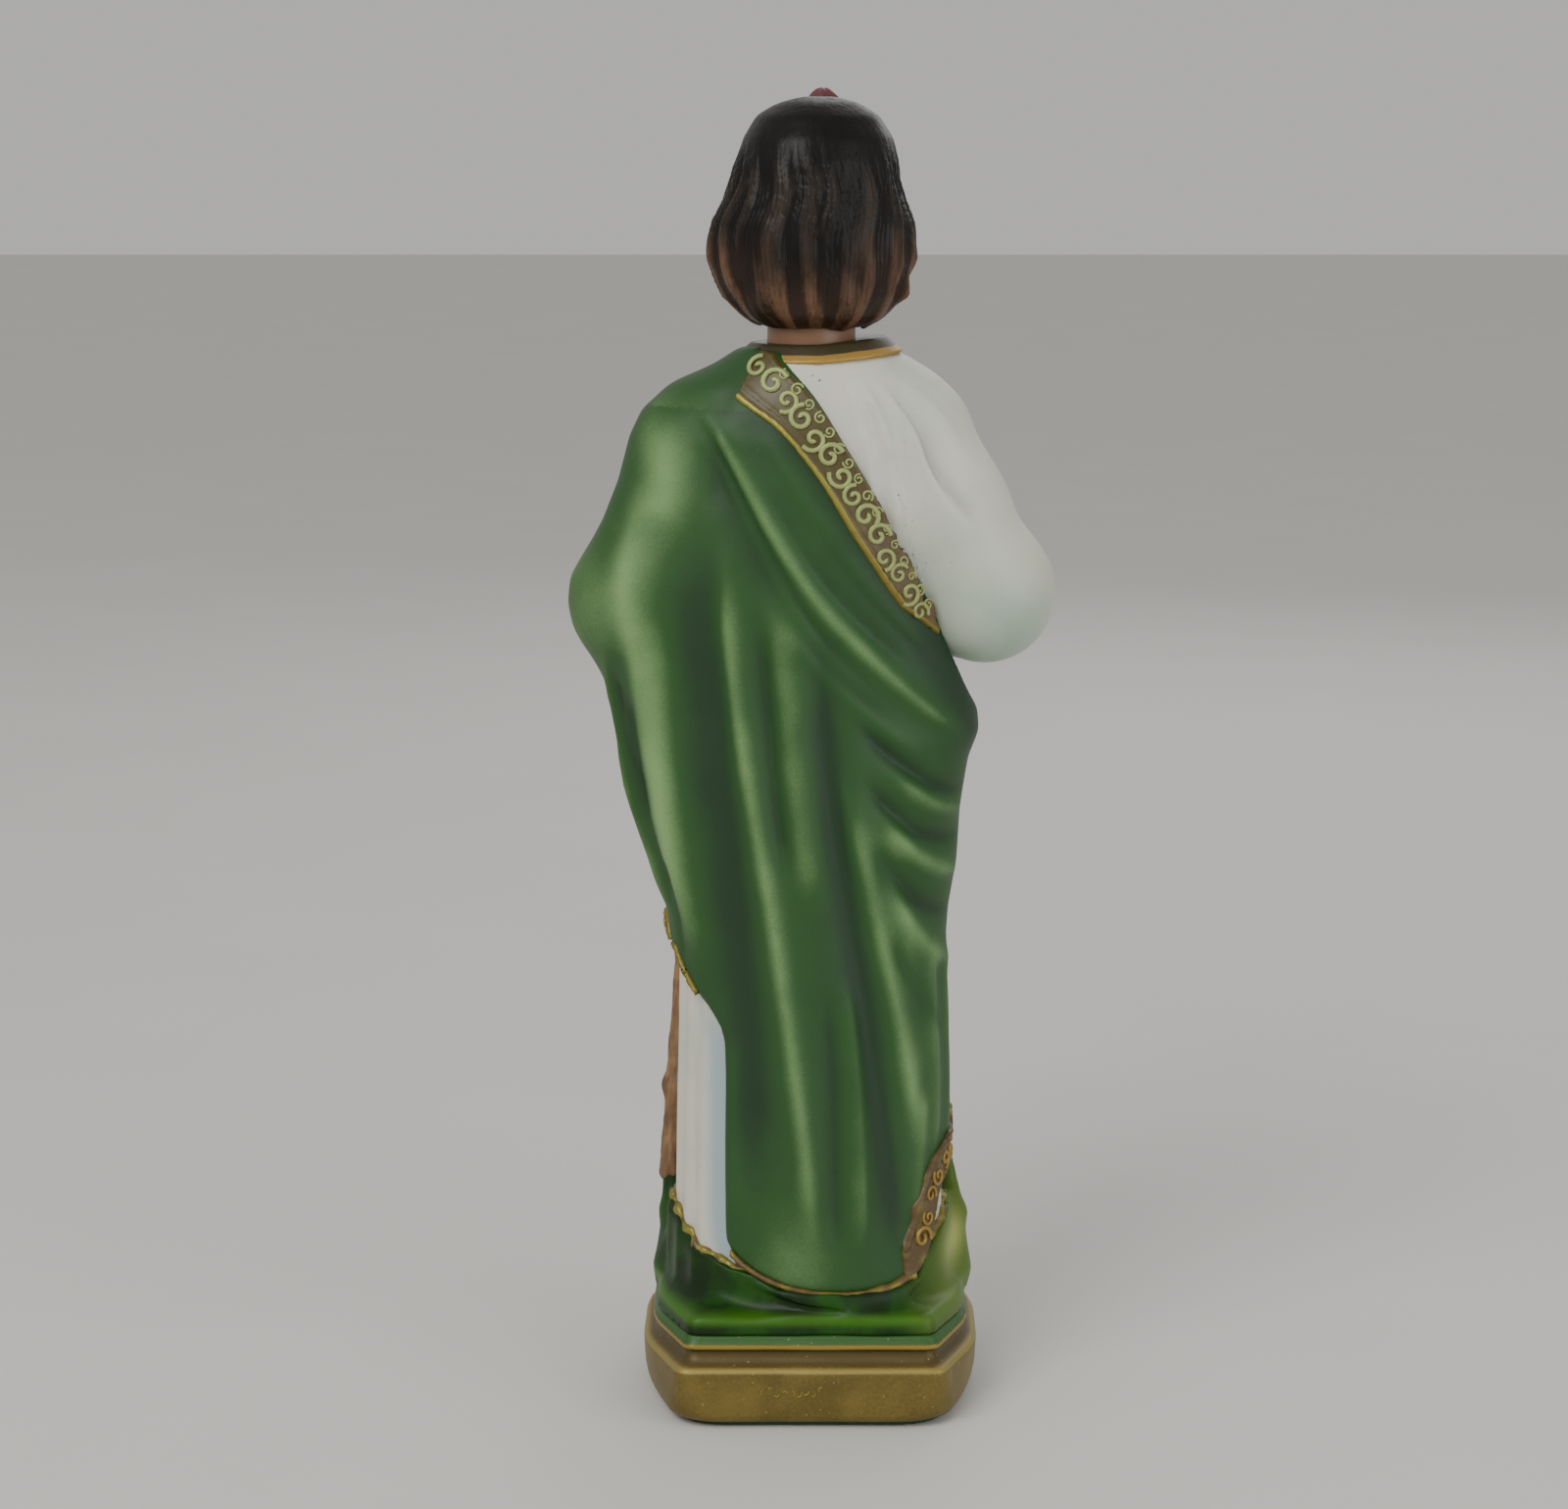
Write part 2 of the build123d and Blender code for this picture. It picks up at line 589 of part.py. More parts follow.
# ---------------------------------------------------------------- wires that join the hands to the arms
right_wrist_wire = wire(
    toward(RIGHT_WRIST, RIGHT_FOREARM, WRIST_WIRE_IN_SLEEVE),
    toward(RIGHT_WRIST, RIGHT_FOREARM, -WRIST_WIRE_IN_HAND),
    WRIST_WIRE_RADIUS,
)
left_wrist_wire = wire(
    toward(LEFT_WRIST, LEFT_FOREARM, WRIST_WIRE_IN_SLEEVE),
    toward(LEFT_WRIST, LEFT_FOREARM, -WRIST_WIRE_IN_HAND),
    WRIST_WIRE_RADIUS,
)
save(right_wrist_wire, "right_wrist_wire")
save(left_wrist_wire, "left_wrist_wire")

# ---------------------------------------------------------------- right sleeve, cuff and hand
right_arm = limb(
    [
        (RIGHT_SHOULDER_TOP, 0.6 * SLEEVE_RADIUS),
        (RIGHT_SHOULDER, 0.93 * SLEEVE_RADIUS),
        (RIGHT_UPPER_ARM, SLEEVE_RADIUS),
        (RIGHT_ELBOW, SLEEVE_RADIUS),
        (RIGHT_FOREARM, 0.8 * SLEEVE_RADIUS),
        (RIGHT_WRIST, SLEEVE_MOUTH_RADIUS),
    ]
)
with BuildPart() as right_sleeve:
    add(right_arm)
    for cutter in (tunic_shape, mantle_shell, back_border, shoulder_dowel, right_wrist_wire):
        add(cutter, mode=Mode.SUBTRACT)
save(right_sleeve.part, "right_sleeve")


def open_hand(wrist, fingers):
    """A flat hand with four straight fingers and a thumb, reaching from the wrist towards fingers."""
    run = Vector(*fingers) - Vector(*wrist)
    across = run.cross(Vector(0, 1, 0))
    palm_end = PALM_LENGTH - FINGER_RADIUS
    plane = Plane(origin=wrist, x_dir=across, z_dir=run)
    digits = []
    for i, length in enumerate(FINGER_LENGTHS):
        sideways = (i - (len(FINGER_LENGTHS) - 1) / 2) * FINGER_PITCH
        root = plane.from_local_coords((sideways, 0, palm_end))
        tip = plane.from_local_coords((FINGER_SPREAD * sideways, 0, PALM_LENGTH + length))
        digits.append(limb([(root, FINGER_RADIUS), (tip, FINGER_TIP_SHARE * FINGER_RADIUS)]))
    thumb_side = 0.3 * PALM_WIDTH
    thumb_root = plane.from_local_coords((thumb_side, 0, 0.3 * PALM_LENGTH))
    thumb_tip = plane.from_local_coords((1.9 * thumb_side, 0, 0.3 * PALM_LENGTH + THUMB_LENGTH))
    digits.append(limb([(thumb_root, THUMB_RADIUS), (thumb_tip, FINGER_RADIUS)]))
    with BuildPart() as hand:
        for share, width in ((0.0, 0.7), (0.5, 1.0), (1.0, 1.0)):
            station = plane.offset(share * PALM_LENGTH)
            with BuildSketch(station):
                Ellipse(width * PALM_WIDTH / 2, PALM_THICKNESS / 2)
        loft()
        for digit in digits:
            add(digit)
    return hand.part


with BuildPart() as right_hand:
    add(open_hand(RIGHT_WRIST, RIGHT_FINGERS))
    for cutter in (right_arm, tunic_shape, mantle_shell, right_wrist_wire):
        add(cutter, mode=Mode.SUBTRACT)
save(right_hand.part, "right_hand")

# ---------------------------------------------------------------- cuffs
right_cuff_shape = limb(
    [
        (toward(RIGHT_WRIST, RIGHT_FOREARM, CUFF_LENGTH), CUFF_RADIUS),
        (toward(RIGHT_WRIST, RIGHT_FOREARM, -CUFF_LENGTH), CUFF_RADIUS),
    ]
)
with BuildPart() as right_cuff:
    add(right_cuff_shape)
    for cutter in (right_arm, right_hand.part, right_wrist_wire):
        add(cutter, mode=Mode.SUBTRACT)
save(right_cuff.part, "right_cuff")

# ---------------------------------------------------------------- left sleeve and the hand round the staff
left_arm = limb([(LEFT_FOREARM, 0.7 * SLEEVE_RADIUS), (LEFT_WRIST, CUFF_RADIUS)])


def gripping_hand(wrist, grip):
    """A palm from the wrist to the staff, with four fingers and a thumb curled round it."""
    digits = []
    for i in range(len(FINGER_LENGTHS)):
        sideways = (i - (len(FINGER_LENGTHS) - 1) / 2) * FINGER_PITCH
        centre = toward(grip, STAFF_FOOT, sideways)
        digits.append(curl(centre, 150))
    digits.append(curl(toward(grip, STAFF_FOOT, -2.2 * FINGER_PITCH), -110))
    palm = limb([(wrist, 0.5 * PALM_WIDTH), (toward(wrist, grip, 0.5 * PALM_WIDTH), 0.55 * PALM_WIDTH)])
    with BuildPart() as hand:
        add(palm)
        for digit in digits:
            add(digit)
    return hand.part


def curl(centre, sweep_angle):
    """A finger bent round the staff at centre, starting on the palm's side."""
    staff_way = (Vector(*STAFF_GRIP) - Vector(*STAFF_FOOT)).normalized()
    palm_way = Vector(*LEFT_WRIST) - Vector(*STAFF_GRIP)
    plane = Plane(origin=centre, x_dir=palm_way - staff_way * palm_way.dot(staff_way), z_dir=staff_way)
    with BuildPart() as digit:
        with BuildLine(plane):
            bend = CenterArc((0, 0), STAFF_RADIUS + 0.8 * FINGER_RADIUS, 0, sweep_angle)
        with BuildSketch(Plane(origin=bend @ 0, z_dir=bend % 0)):
            Circle(FINGER_RADIUS)
        sweep(path=bend)
    return digit.part


with BuildPart() as left_hand:
    add(gripping_hand(LEFT_WRIST, STAFF_GRIP))
    for cutter in (staff, left_wrist_wire):
        add(cutter, mode=Mode.SUBTRACT)
save(left_hand.part, "left_hand")
with BuildPart() as left_sleeve:
    add(left_arm)
    for cutter in (mantle_shell, left_hand.part, left_wrist_wire):
        add(cutter, mode=Mode.SUBTRACT)
save(left_sleeve.part, "left_cuff")
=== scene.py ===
# %% [markdown]
# # A painted plaster statuette, cast and painted in code
#
# The object is a small devotional-style ornament: a standing figure in a white tunic and a green mantle, on a
# stepped gilt plinth. The real thing is poured in plaster, fettled, sprayed and finished by brush. Plaster
# has no sharp edges and no seams, so most pieces here are *cast* in the same spirit: each is described by a
# field, a function that says how far any point in space is from the surface, and a mesh is drawn off that
# field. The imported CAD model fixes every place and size. It is loaded first, and everything is measured from
# it.

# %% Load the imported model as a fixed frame
import itertools
import json
import math

import bpy
import numpy as np
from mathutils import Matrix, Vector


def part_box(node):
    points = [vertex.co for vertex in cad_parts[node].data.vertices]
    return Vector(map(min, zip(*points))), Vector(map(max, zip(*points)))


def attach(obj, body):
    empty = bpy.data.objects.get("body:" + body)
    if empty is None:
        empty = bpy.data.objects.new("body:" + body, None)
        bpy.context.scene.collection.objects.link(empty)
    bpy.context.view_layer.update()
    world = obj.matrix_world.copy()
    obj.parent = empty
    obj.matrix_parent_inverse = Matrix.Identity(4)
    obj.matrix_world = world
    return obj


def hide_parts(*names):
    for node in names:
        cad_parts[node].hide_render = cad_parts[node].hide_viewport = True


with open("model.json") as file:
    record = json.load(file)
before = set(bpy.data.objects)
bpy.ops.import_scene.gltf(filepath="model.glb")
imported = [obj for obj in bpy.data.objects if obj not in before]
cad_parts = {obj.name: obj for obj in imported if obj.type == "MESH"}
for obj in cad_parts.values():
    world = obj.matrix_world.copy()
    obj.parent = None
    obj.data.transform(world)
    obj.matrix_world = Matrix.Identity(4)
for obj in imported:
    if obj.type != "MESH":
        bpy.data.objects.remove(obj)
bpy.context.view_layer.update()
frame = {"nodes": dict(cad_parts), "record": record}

MM = 0.001


def corners(node):
    """A CAD node's lowest and highest corners, in millimetres."""
    low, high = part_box(node)
    return np.array(low) / MM, np.array(high) / MM


PLINTH_TOP = corners("plinth")[1][2]
GROUND = corners("left_sole")[0][2]
NECKLINE = corners("collar")[0][2]
CROWN = corners("head")[1][2]
CHIN = NECKLINE + 7.4
WAIST = GROUND + 0.59 * (NECKLINE - GROUND)
print("levels, mm:", [round(float(z), 1) for z in (PLINTH_TOP, GROUND, WAIST, NECKLINE, CHIN, CROWN)])

# %% [markdown]
# ## Camera first
#
# The figure faces -Y and is seen from behind, from a little above. Its left side is +X, which is on the left
# of the picture. A long lens keeps the small object from looking like a monument.

# %% Camera
CAMERA_DISTANCE = 560
CAMERA_HEIGHT = 205
CAMERA_SIDE = 4.2
CAMERA_PITCH = 10.4
LENS = 83.5

camera_data = bpy.data.cameras.new("camera")
camera_data.lens = LENS
camera_data.sensor_width = 36
camera_data.sensor_fit = "HORIZONTAL"
camera_data.clip_start = 0.01
camera = bpy.data.objects.new("camera", camera_data)
camera.location = (CAMERA_SIDE * MM, CAMERA_DISTANCE * MM, CAMERA_HEIGHT * MM)
camera.rotation_euler = (math.radians(90 - CAMERA_PITCH), 0, math.radians(180))
bpy.context.collection.objects.link(camera)
bpy.context.scene.camera = camera

# %% [markdown]
# ## Fields
#
# A field gives a number for every point: below zero inside the piece, above zero outside, and about the
# distance to the surface near it. Two fields join into one shape by taking the smaller of them, and a cut is
# the larger of one and the other's opposite. A soft version of smaller and larger rounds the joint, as
# plaster does.

# %% Joining and cutting fields
def soft_min(a, b, blend):
    """The smaller of two fields, with the corner between them filled over a width of blend."""
    share = np.clip(0.5 + 0.5 * (b - a) / blend, 0, 1)
    return b + (a - b) * share - blend * share * (1 - share)


def soft_max(a, b, blend):
    """The larger of two fields, with the corner between them rounded off over a width of blend."""
    return -soft_min(-a, -b, blend)


def limb(p, stations, blend=0.0):
    """A field of round, tapering stretches through stations, each a point and a radius."""
    field = None
    for (start, first), (end, last) in zip(stations, stations[1:]):
        start = np.array(start, float)
        run = np.array(end, float) - start
        share = np.clip((p - start) @ run / (run @ run), 0, 1)
        gap = np.linalg.norm(p - start - share[:, None] * run, axis=1) - (first + (last - first) * share)
        if field is None:
            field = gap
        else:
            field = soft_min(field, gap, blend) if blend else np.minimum(field, gap)
    return field


def ball(p, centre, radii):
    """A field of an ellipsoid."""
    q = p - np.array(centre, float)
    radii = np.array(radii, float)
    scaled = np.linalg.norm(q / radii, axis=1)
    slope = np.linalg.norm(q / radii**2, axis=1) + 1e-9
    return scaled * (scaled - 1) / slope


def side_of(p, point, normal):
    """A flat cut: below zero on the side that the normal points away from."""
    normal = np.array(normal, float)
    return (p - np.array(point, float)) @ (normal / np.linalg.norm(normal))


def ripple(p, size, seed):
    """A gentle unevenness between about -1 and 1, from a few waves of the given size in mixed directions."""
    draw = np.random.default_rng(seed)
    total = 0
    for _ in range(6):
        way = draw.normal(size=3)
        way *= 2 * math.pi / (size * np.linalg.norm(way)) * draw.uniform(0.7, 1.4)
        total = total + np.sin(p @ way + draw.uniform(0, 6.28))
    return total / 3.2


# %% [markdown]
# ## Drawing a mesh off a field
#
# The field is worked out on a lattice, coarsely everywhere and finely near the surface. Each lattice cell
# that the surface crosses gets one vertex, and vertices of neighbouring cells join in four-sided faces, which
# gives a closed mesh with even faces. Each vertex is then slid along the field's slope until it sits on the
# surface.

# %% Casting
def lattice(field, low, cells, step):
    """Values of a field at every lattice point, worked out in full only near the surface."""
    stride = 4
    grids = [low[a] + stride * step * np.arange(cells[a] + 1) for a in range(3)]
    coarse_points = np.stack(np.meshgrid(*grids, indexing="ij"), axis=-1).reshape(-1, 3)
    coarse = field(coarse_points).reshape(cells + 1)
    nearest = np.full(cells, np.inf)
    for i, j, k in itertools.product((0, 1), repeat=3):
        corner = coarse[i:i + cells[0], j:j + cells[1], k:k + cells[2]]
        nearest = np.minimum(nearest, np.abs(corner))
    near = nearest < 0.9 * stride * step + 1.4
    values = coarse[:-1, :-1, :-1]
    for axis in range(3):
        near = np.repeat(near, stride, axis=axis)
        values = np.repeat(values, stride, axis=axis)
    near = np.pad(near, ((0, 1), (0, 1), (0, 1)))
    values = np.pad(values, ((0, 1), (0, 1), (0, 1)), mode="edge")
    for axis in range(3):
        near = near | np.roll(near, 1, axis=axis)
    spots = np.argwhere(near)
    values[near] = field(low + step * spots)
    return values


def surface_net(values, low, step):
    """Vertices and four-sided faces of the surface where lattice values change sign."""
    inside = values < 0
    count = np.array(values.shape) - 1
    corner_sum = np.zeros(count, int)
    for i, j, k in itertools.product((0, 1), repeat=3):
        corner_sum += inside[i:i + count[0], j:j + count[1], k:k + count[2]]
    crossed = (corner_sum > 0) & (corner_sum < 8)
    cell = np.argwhere(crossed)
    number = np.full(count, -1)
    number[crossed] = np.arange(len(cell))
    spot = np.zeros((len(cell), 3))
    hits = np.zeros(len(cell))
    for axis in range(3):
        others = [a for a in range(3) if a != axis]
        for side in itertools.product((0, 1), repeat=2):
            a = cell.copy()
            a[:, others[0]] += side[0]
            a[:, others[1]] += side[1]
            b = a.copy()
            b[:, axis] += 1
            va = values[tuple(a.T)]
            vb = values[tuple(b.T)]
            change = (va < 0) != (vb < 0)
            share = np.where(change, va / np.where(change, va - vb, 1), 0)
            spot += np.where(change[:, None], a + share[:, None] * (b - a), 0)
            hits += change
    spot = low + step * spot / hits[:, None]
    faces = []
    for axis in range(3):
        first, second = (axis + 1) % 3, (axis + 2) % 3
        edge = np.diff(inside.astype(np.int8), axis=axis)
        where = np.argwhere(edge != 0)
        rises = edge[tuple(where.T)]
        safe = (where[:, first] > 0) & (where[:, second] > 0)
        safe &= (where[:, first] < count[first]) & (where[:, second] < count[second])
        where, rises = where[safe], rises[safe]
        ring = []
        for back_first, back_second in ((1, 1), (0, 1), (0, 0), (1, 0)):
            a = where.copy()
            a[:, first] -= back_first
            a[:, second] -= back_second
            ring.append(number[tuple(a.T)])
        ring = np.stack(ring, axis=1)
        ring[rises > 0] = ring[rises > 0][:, ::-1]
        faces.append(ring)
    return spot, np.concatenate(faces)


def slope(field, p, reach):
    """The field's value and gradient at points."""
    value = field(p)
    gradient = np.empty_like(p)
    for axis in range(3):
        nudge = np.zeros(3)
        nudge[axis] = reach
        gradient[:, axis] = (field(p + nudge) - field(p - nudge)) / (2 * reach)
    return value, gradient


def cast(field, low, high, step):
    """A closed mesh, as vertices and faces in millimetres, of the surface where a field is zero."""
    low = np.array(low, float)
    cells = np.ceil((np.array(high, float) - low) / (4 * step)).astype(int)
    values = lattice(field, low, cells, step)
    spot, faces = surface_net(values, low, step)
    for _ in range(2):
        value, gradient = slope(field, spot, 0.25 * step)
        size = (gradient**2).sum(axis=1)
        move = -value[:, None] * gradient / np.maximum(size, 0.2)[:, None]
        length = np.linalg.norm(move, axis=1)[:, None]
        spot = spot + move * np.minimum(1, 0.45 * step / np.maximum(length, 1e-9))
    return spot, faces


def piece(name, spots, faces, material, attributes=None):
    """A Blender object of a mesh in millimetres, standing for the CAD node of the same name."""
    mesh = bpy.data.meshes.new(name)
    mesh.from_pydata((spots * MM).tolist(), [], faces.tolist())
    mesh.shade_smooth()
    for key, values in (attributes or {}).items():
        layer = mesh.attributes.new(key, "FLOAT", "POINT")
        layer.data.foreach_set("value", np.asarray(values, np.float32))
    made = bpy.data.objects.new("cast_" + name, mesh)
    bpy.context.collection.objects.link(made)
    return finish_piece(made, material, name)


def cast_piece(name, field, low, high, step, material, marks=None):
    """Casts a field and makes a piece of it. marks works out, from the vertices, what the paint needs."""
    spots, faces = cast(field, low, high, step)
    return piece(name, spots, faces, material, marks(spots) if marks else None)


def finish_piece(made, material, node):
    """Paints a piece, and ties it to the body and the CAD nodes that it stands for."""
    nodes = (node,) if isinstance(node, str) else tuple(node)
    made.data.materials.clear()
    made.data.materials.append(material)
    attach(made, "root")
    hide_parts(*nodes)
    print(f"{made.name}: {len(made.data.vertices)} vertices, {len(made.data.polygons)} faces")
    return made

# %% [markdown]
# ## The figure unrolled
#
# Cloth carved in plaster is a low relief on a simple body. The body is a stack of ovals, and the relief is
# drawn on a map of the figure unrolled like a label off a bottle. A place on the map is a turn in degrees,
# from 0 at the middle of the back, through 90 at the figure's right and 180 at the front, and a height.

# %% Stacked ovals
class Ovals:
    """A body by how far it reaches left, right, back and front of its axis, at a list of heights."""

    SQUARENESS = 2.1

    def __init__(self, table, soften=5.0):
        table = np.array(table, float)
        self.height = np.arange(table[0, 0] - 20, table[-1, 0] + 20, 0.5)
        window = np.hanning(2 * int(soften) + 3)
        pad = len(window) // 2
        self.reaches = []
        for column in table.T[1:]:
            row = np.pad(np.interp(self.height, table[:, 0], column), pad, mode="edge")
            self.reaches.append(np.convolve(row, window / window.sum(), mode="valid"))

    def radius(self, x, y, z):
        """How far the body reaches at height z in the direction of x and y."""
        left, right, back, front = (np.interp(z, self.height, row) for row in self.reaches)
        r = np.hypot(x, y) + 1e-9
        wide = np.abs(x) / (r * np.where(x > 0, left, right))
        deep = np.abs(y) / (r * np.where(y > 0, back, front))
        return np.maximum(wide**self.SQUARENESS + deep**self.SQUARENESS, 1e-5) ** (-1 / self.SQUARENESS)

    def field(self, p):
        x, y, z = p.T
        return np.hypot(x, y) - self.radius(x, y, z)

    def spot(self, turn, z):
        """The point on the body at a turn and a height."""
        angle = np.radians(turn)
        x, y = -np.sin(angle), np.cos(angle)
        reach = self.radius(x, y, np.asarray(z, float))
        return np.stack([x * reach, y * reach, np.asarray(z, float) + 0 * reach], axis=-1)

    def back(self, points):
        """Turn and height of points on the back, given by distances right of the axis and heights."""
        turns = np.linspace(-88, 88, 177)
        out = []
        for across, z in points:
            reach = -self.spot(turns, np.full(177, float(z)))[:, 0]
            out.append((float(np.interp(across, reach, turns)), z))
        return out


def turn_of(p):
    return np.degrees(np.arctan2(-p[:, 0], p[:, 1]))


def rounded(points, pieces=5):
    """A smooth curve through given points."""
    points = np.array(points, float)
    ends = np.vstack([2 * points[0] - points[1], points, 2 * points[-1] - points[-2]])
    curve = []
    for a, b, c, d in zip(ends, ends[1:], ends[2:], ends[3:]):
        for t in np.arange(pieces) / pieces:
            curve.append(0.5 * (2 * b + (c - a) * t + (2 * a - 5 * b + 4 * c - d) * t**2
                                + (3 * b - a - 3 * c + d) * t**3))
    return np.array(curve + [points[-1]])


# %% The unrolled map
class Unrolled:
    """Values over the figure's outside, by turn in degrees and height in millimetres."""

    RISE = 0.5

    def __init__(self, body, low, high):
        self.body = body
        self.low = low
        turns = np.arange(-180, 180)
        heights = np.arange(low, high + self.RISE, self.RISE)
        self.turns, self.heights = np.meshgrid(turns, heights, indexing="ij")
        self.values = np.zeros(self.turns.shape)

    def near(self, line, reach=np.inf):
        """Distance to a line, the side of it, and how far along it, for every place in the map."""
        gap = np.full(self.values.shape, np.inf)
        side = np.zeros(self.values.shape)
        along = np.zeros(self.values.shape)
        lengths = np.hypot(np.diff(line[:, 0]) * 0.36, np.diff(line[:, 1]))
        walked = np.concatenate([[0], np.cumsum(lengths)]) / lengths.sum()
        rows = slice(None)
        if np.isfinite(reach):
            first = int((line[:, 1].min() - reach - self.low) / self.RISE)
            last = int((line[:, 1].max() + reach - self.low) / self.RISE) + 2
            rows = slice(max(0, first), max(0, last))
        turns, heights = self.turns[:, rows], self.heights[:, rows]
        for i, (a, b) in enumerate(zip(line, line[1:])):
            middle = (a + b) / 2
            angle = math.radians(middle[0])
            scale = float(self.body.radius(-math.sin(angle), math.cos(angle), middle[1])) * math.pi / 180
            away = (turns - middle[0] + 180) % 360 - 180 + middle[0] - a[0]
            across, up = away * scale, heights - a[1]
            run = np.array([(b[0] - a[0]) * scale, b[1] - a[1]])
            share = np.clip((across * run[0] + up * run[1]) / (run @ run + 1e-9), 0, 1)
            ox, oz = across - share * run[0], up - share * run[1]
            distance = np.hypot(ox, oz)
            closer = distance < gap[:, rows]
            gap[:, rows] = np.where(closer, distance, gap[:, rows])
            side[:, rows] = np.where(closer, np.sign(run[0] * up - run[1] * across), side[:, rows])
            done = walked[i] + share * (walked[i + 1] - walked[i])
            along[:, rows] = np.where(closer, done, along[:, rows])
        return gap, side, along

    def fold(self, points, height, left, right, sharp=1.6, fade=0.2):
        """Adds a ridge, or a valley if height is below zero. left and right are its widths to each side."""
        gap, side, along = self.near(rounded(points), 3.5 * max(left, right))
        width = np.where(side > 0, right, left)
        ends = np.clip(along / fade, 0, 1) * np.clip((1 - along) / fade, 0, 1)
        ends = ends * ends * (3 - 2 * ends)
        self.values += height * ends * np.exp(-((np.minimum(gap, 99) / width) ** sharp))

    def edge(self, points):
        """Fills the map with the distance to a line that goes right round, below zero under it."""
        line = rounded(points)
        gap, _, _ = self.near(line)
        order = np.argsort(line[:, 0])
        level = np.interp(self.turns[:, 0], line[order, 0], line[order, 1], period=360)
        self.values = gap * np.where(self.heights > level[:, None], 1, -1)

    def at(self, p):
        """The map's values at points in space."""
        turn = (turn_of(p) + 180) % 360
        row = np.clip((p[:, 2] - self.low) / self.RISE, 0, self.values.shape[1] - 1.001)
        i, j = turn.astype(int) % 360, row.astype(int)
        u, v = turn - np.floor(turn), row - j
        k = (i + 1) % 360
        return ((self.values[i, j] * (1 - u) + self.values[k, j] * u) * (1 - v)
                + (self.values[i, j + 1] * (1 - u) + self.values[k, j + 1] * u) * v)


# %% [markdown]
# ## The body under the cloth
#
# The tunic falls from the shoulders to the ground, and the mantle lies over it. The heights below come from
# the CAD model's levels. The mantle is widest at the left elbow, which it covers.

# %% Tunic and mantle as stacked ovals
TUNIC = Ovals([
    # height, left, right, back, front
    (GROUND - 3, 21.2, 21.4, 17.2, 18.4),
    (GROUND + 6, 20.9, 21.2, 16.9, 17.8),
    (GROUND + 22, 20.6, 20.6, 16.5, 16.6),
    (GROUND + 50, 20.0, 19.4, 15.6, 15.4),
    (WAIST - 12, 18.6, 18.6, 14.4, 14.2),
    (WAIST + 8, 18.6, 19.2, 13.8, 13.8),
    (WAIST + 26, 19.4, 20.4, 14.2, 14.4),
    (WAIST + 40, 19.8, 20.6, 14.4, 14.0),
    (WAIST + 48, 19.2, 21.2, 13.6, 12.9),
    (WAIST + 53, 17.2, 20.6, 12.4, 11.4),
    (WAIST + 56.5, 14.2, 18.2, 11.4, 9.8),
    (NECKLINE - 1.0, 11.4, 14.8, 10.4, 9.0),
    (NECKLINE + 1, 9.0, 11.4, 9.4, 8.2),
    (NECKLINE + 3, 7.4, 7.6, 8.0, 7.2),
], soften=3.0)

MANTLE = Ovals([
    (GROUND - 2, 21.4, 22.6, 19.6, 19.4),
    (GROUND + 15, 21.3, 21.6, 18.8, 18.8),
    (GROUND + 35, 21.6, 21.4, 18.2, 18.0),
    (GROUND + 50, 21.8, 21.0, 17.7, 17.6),
    (GROUND + 59, 22.8, 21.6, 17.4, 17.3),
    (GROUND + 67, 25.2, 22.9, 17.1, 17.1),
    (GROUND + 75, 28.0, 23.4, 16.8, 16.9),
    (GROUND + 83, 29.6, 24.6, 16.5, 16.6),
    (WAIST + 1, 30.2, 26.2, 16.2, 16.4),
    (WAIST + 5, 30.8, 25.9, 16.0, 16.4),
    (WAIST + 13, 33.6, 24.2, 15.9, 16.6),
    (WAIST + 17, 35.8, 23.4, 15.9, 16.6),
    (WAIST + 21, 37.0, 23.2, 15.9, 16.5),
    (WAIST + 25, 37.0, 23.2, 15.9, 16.2),
    (WAIST + 29, 35.0, 23.2, 15.9, 16.0),
    (WAIST + 34, 32.2, 23.2, 15.9, 15.8),
    (WAIST + 40, 29.8, 22.8, 15.6, 15.2),
    (WAIST + 47, 28.0, 21.8, 14.9, 14.2),
    (WAIST + 51, 26.0, 20.0, 13.9, 13.0),
    (WAIST + 55, 21.6, 17.0, 12.3, 11.6),
    (NECKLINE - 2.0, 15.0, 11.6, 10.6, 10.0),
    (NECKLINE + 1.5, 9.6, 9.2, 9.6, 8.8),
], soften=2.0)

# %% [markdown]
# The right arm bends at the elbow, and its hand is on the chest. The left forearm comes forward under the
# mantle to the staff. Each is a chain of round stretches with a soft joint to the body.

# %% Arms
SHOULDER = (-14.6, 0.8, NECKLINE - 14.2)
ELBOW = (-26.8, 1.2, NECKLINE - 37.0)
RIGHT_WRIST = np.array([-11.0, -20.0, NECKLINE - 28.8])
LEFT_ELBOW = (28.0, -1.0, NECKLINE - 39.8)
LEFT_WRIST = (corners("left_wrist_wire")[0] + corners("left_wrist_wire")[1]) / 2
right_arm_line = [
    (SHOULDER, 10.6),
    ((-20.2, 1.4, NECKLINE - 24.6), 9.6),
    (ELBOW, 10.1),
    ((-20.4, -13.4, NECKLINE - 33.4), 8.4),
    (tuple(RIGHT_WRIST), 6.0),
]
left_arm_line = [
    (LEFT_ELBOW, 8.0),
    ((26.6, -12.4, NECKLINE - 43.6), 7.8),
    (tuple(LEFT_WRIST + (0.9, 0.9, 0.6)), 6.2),
]
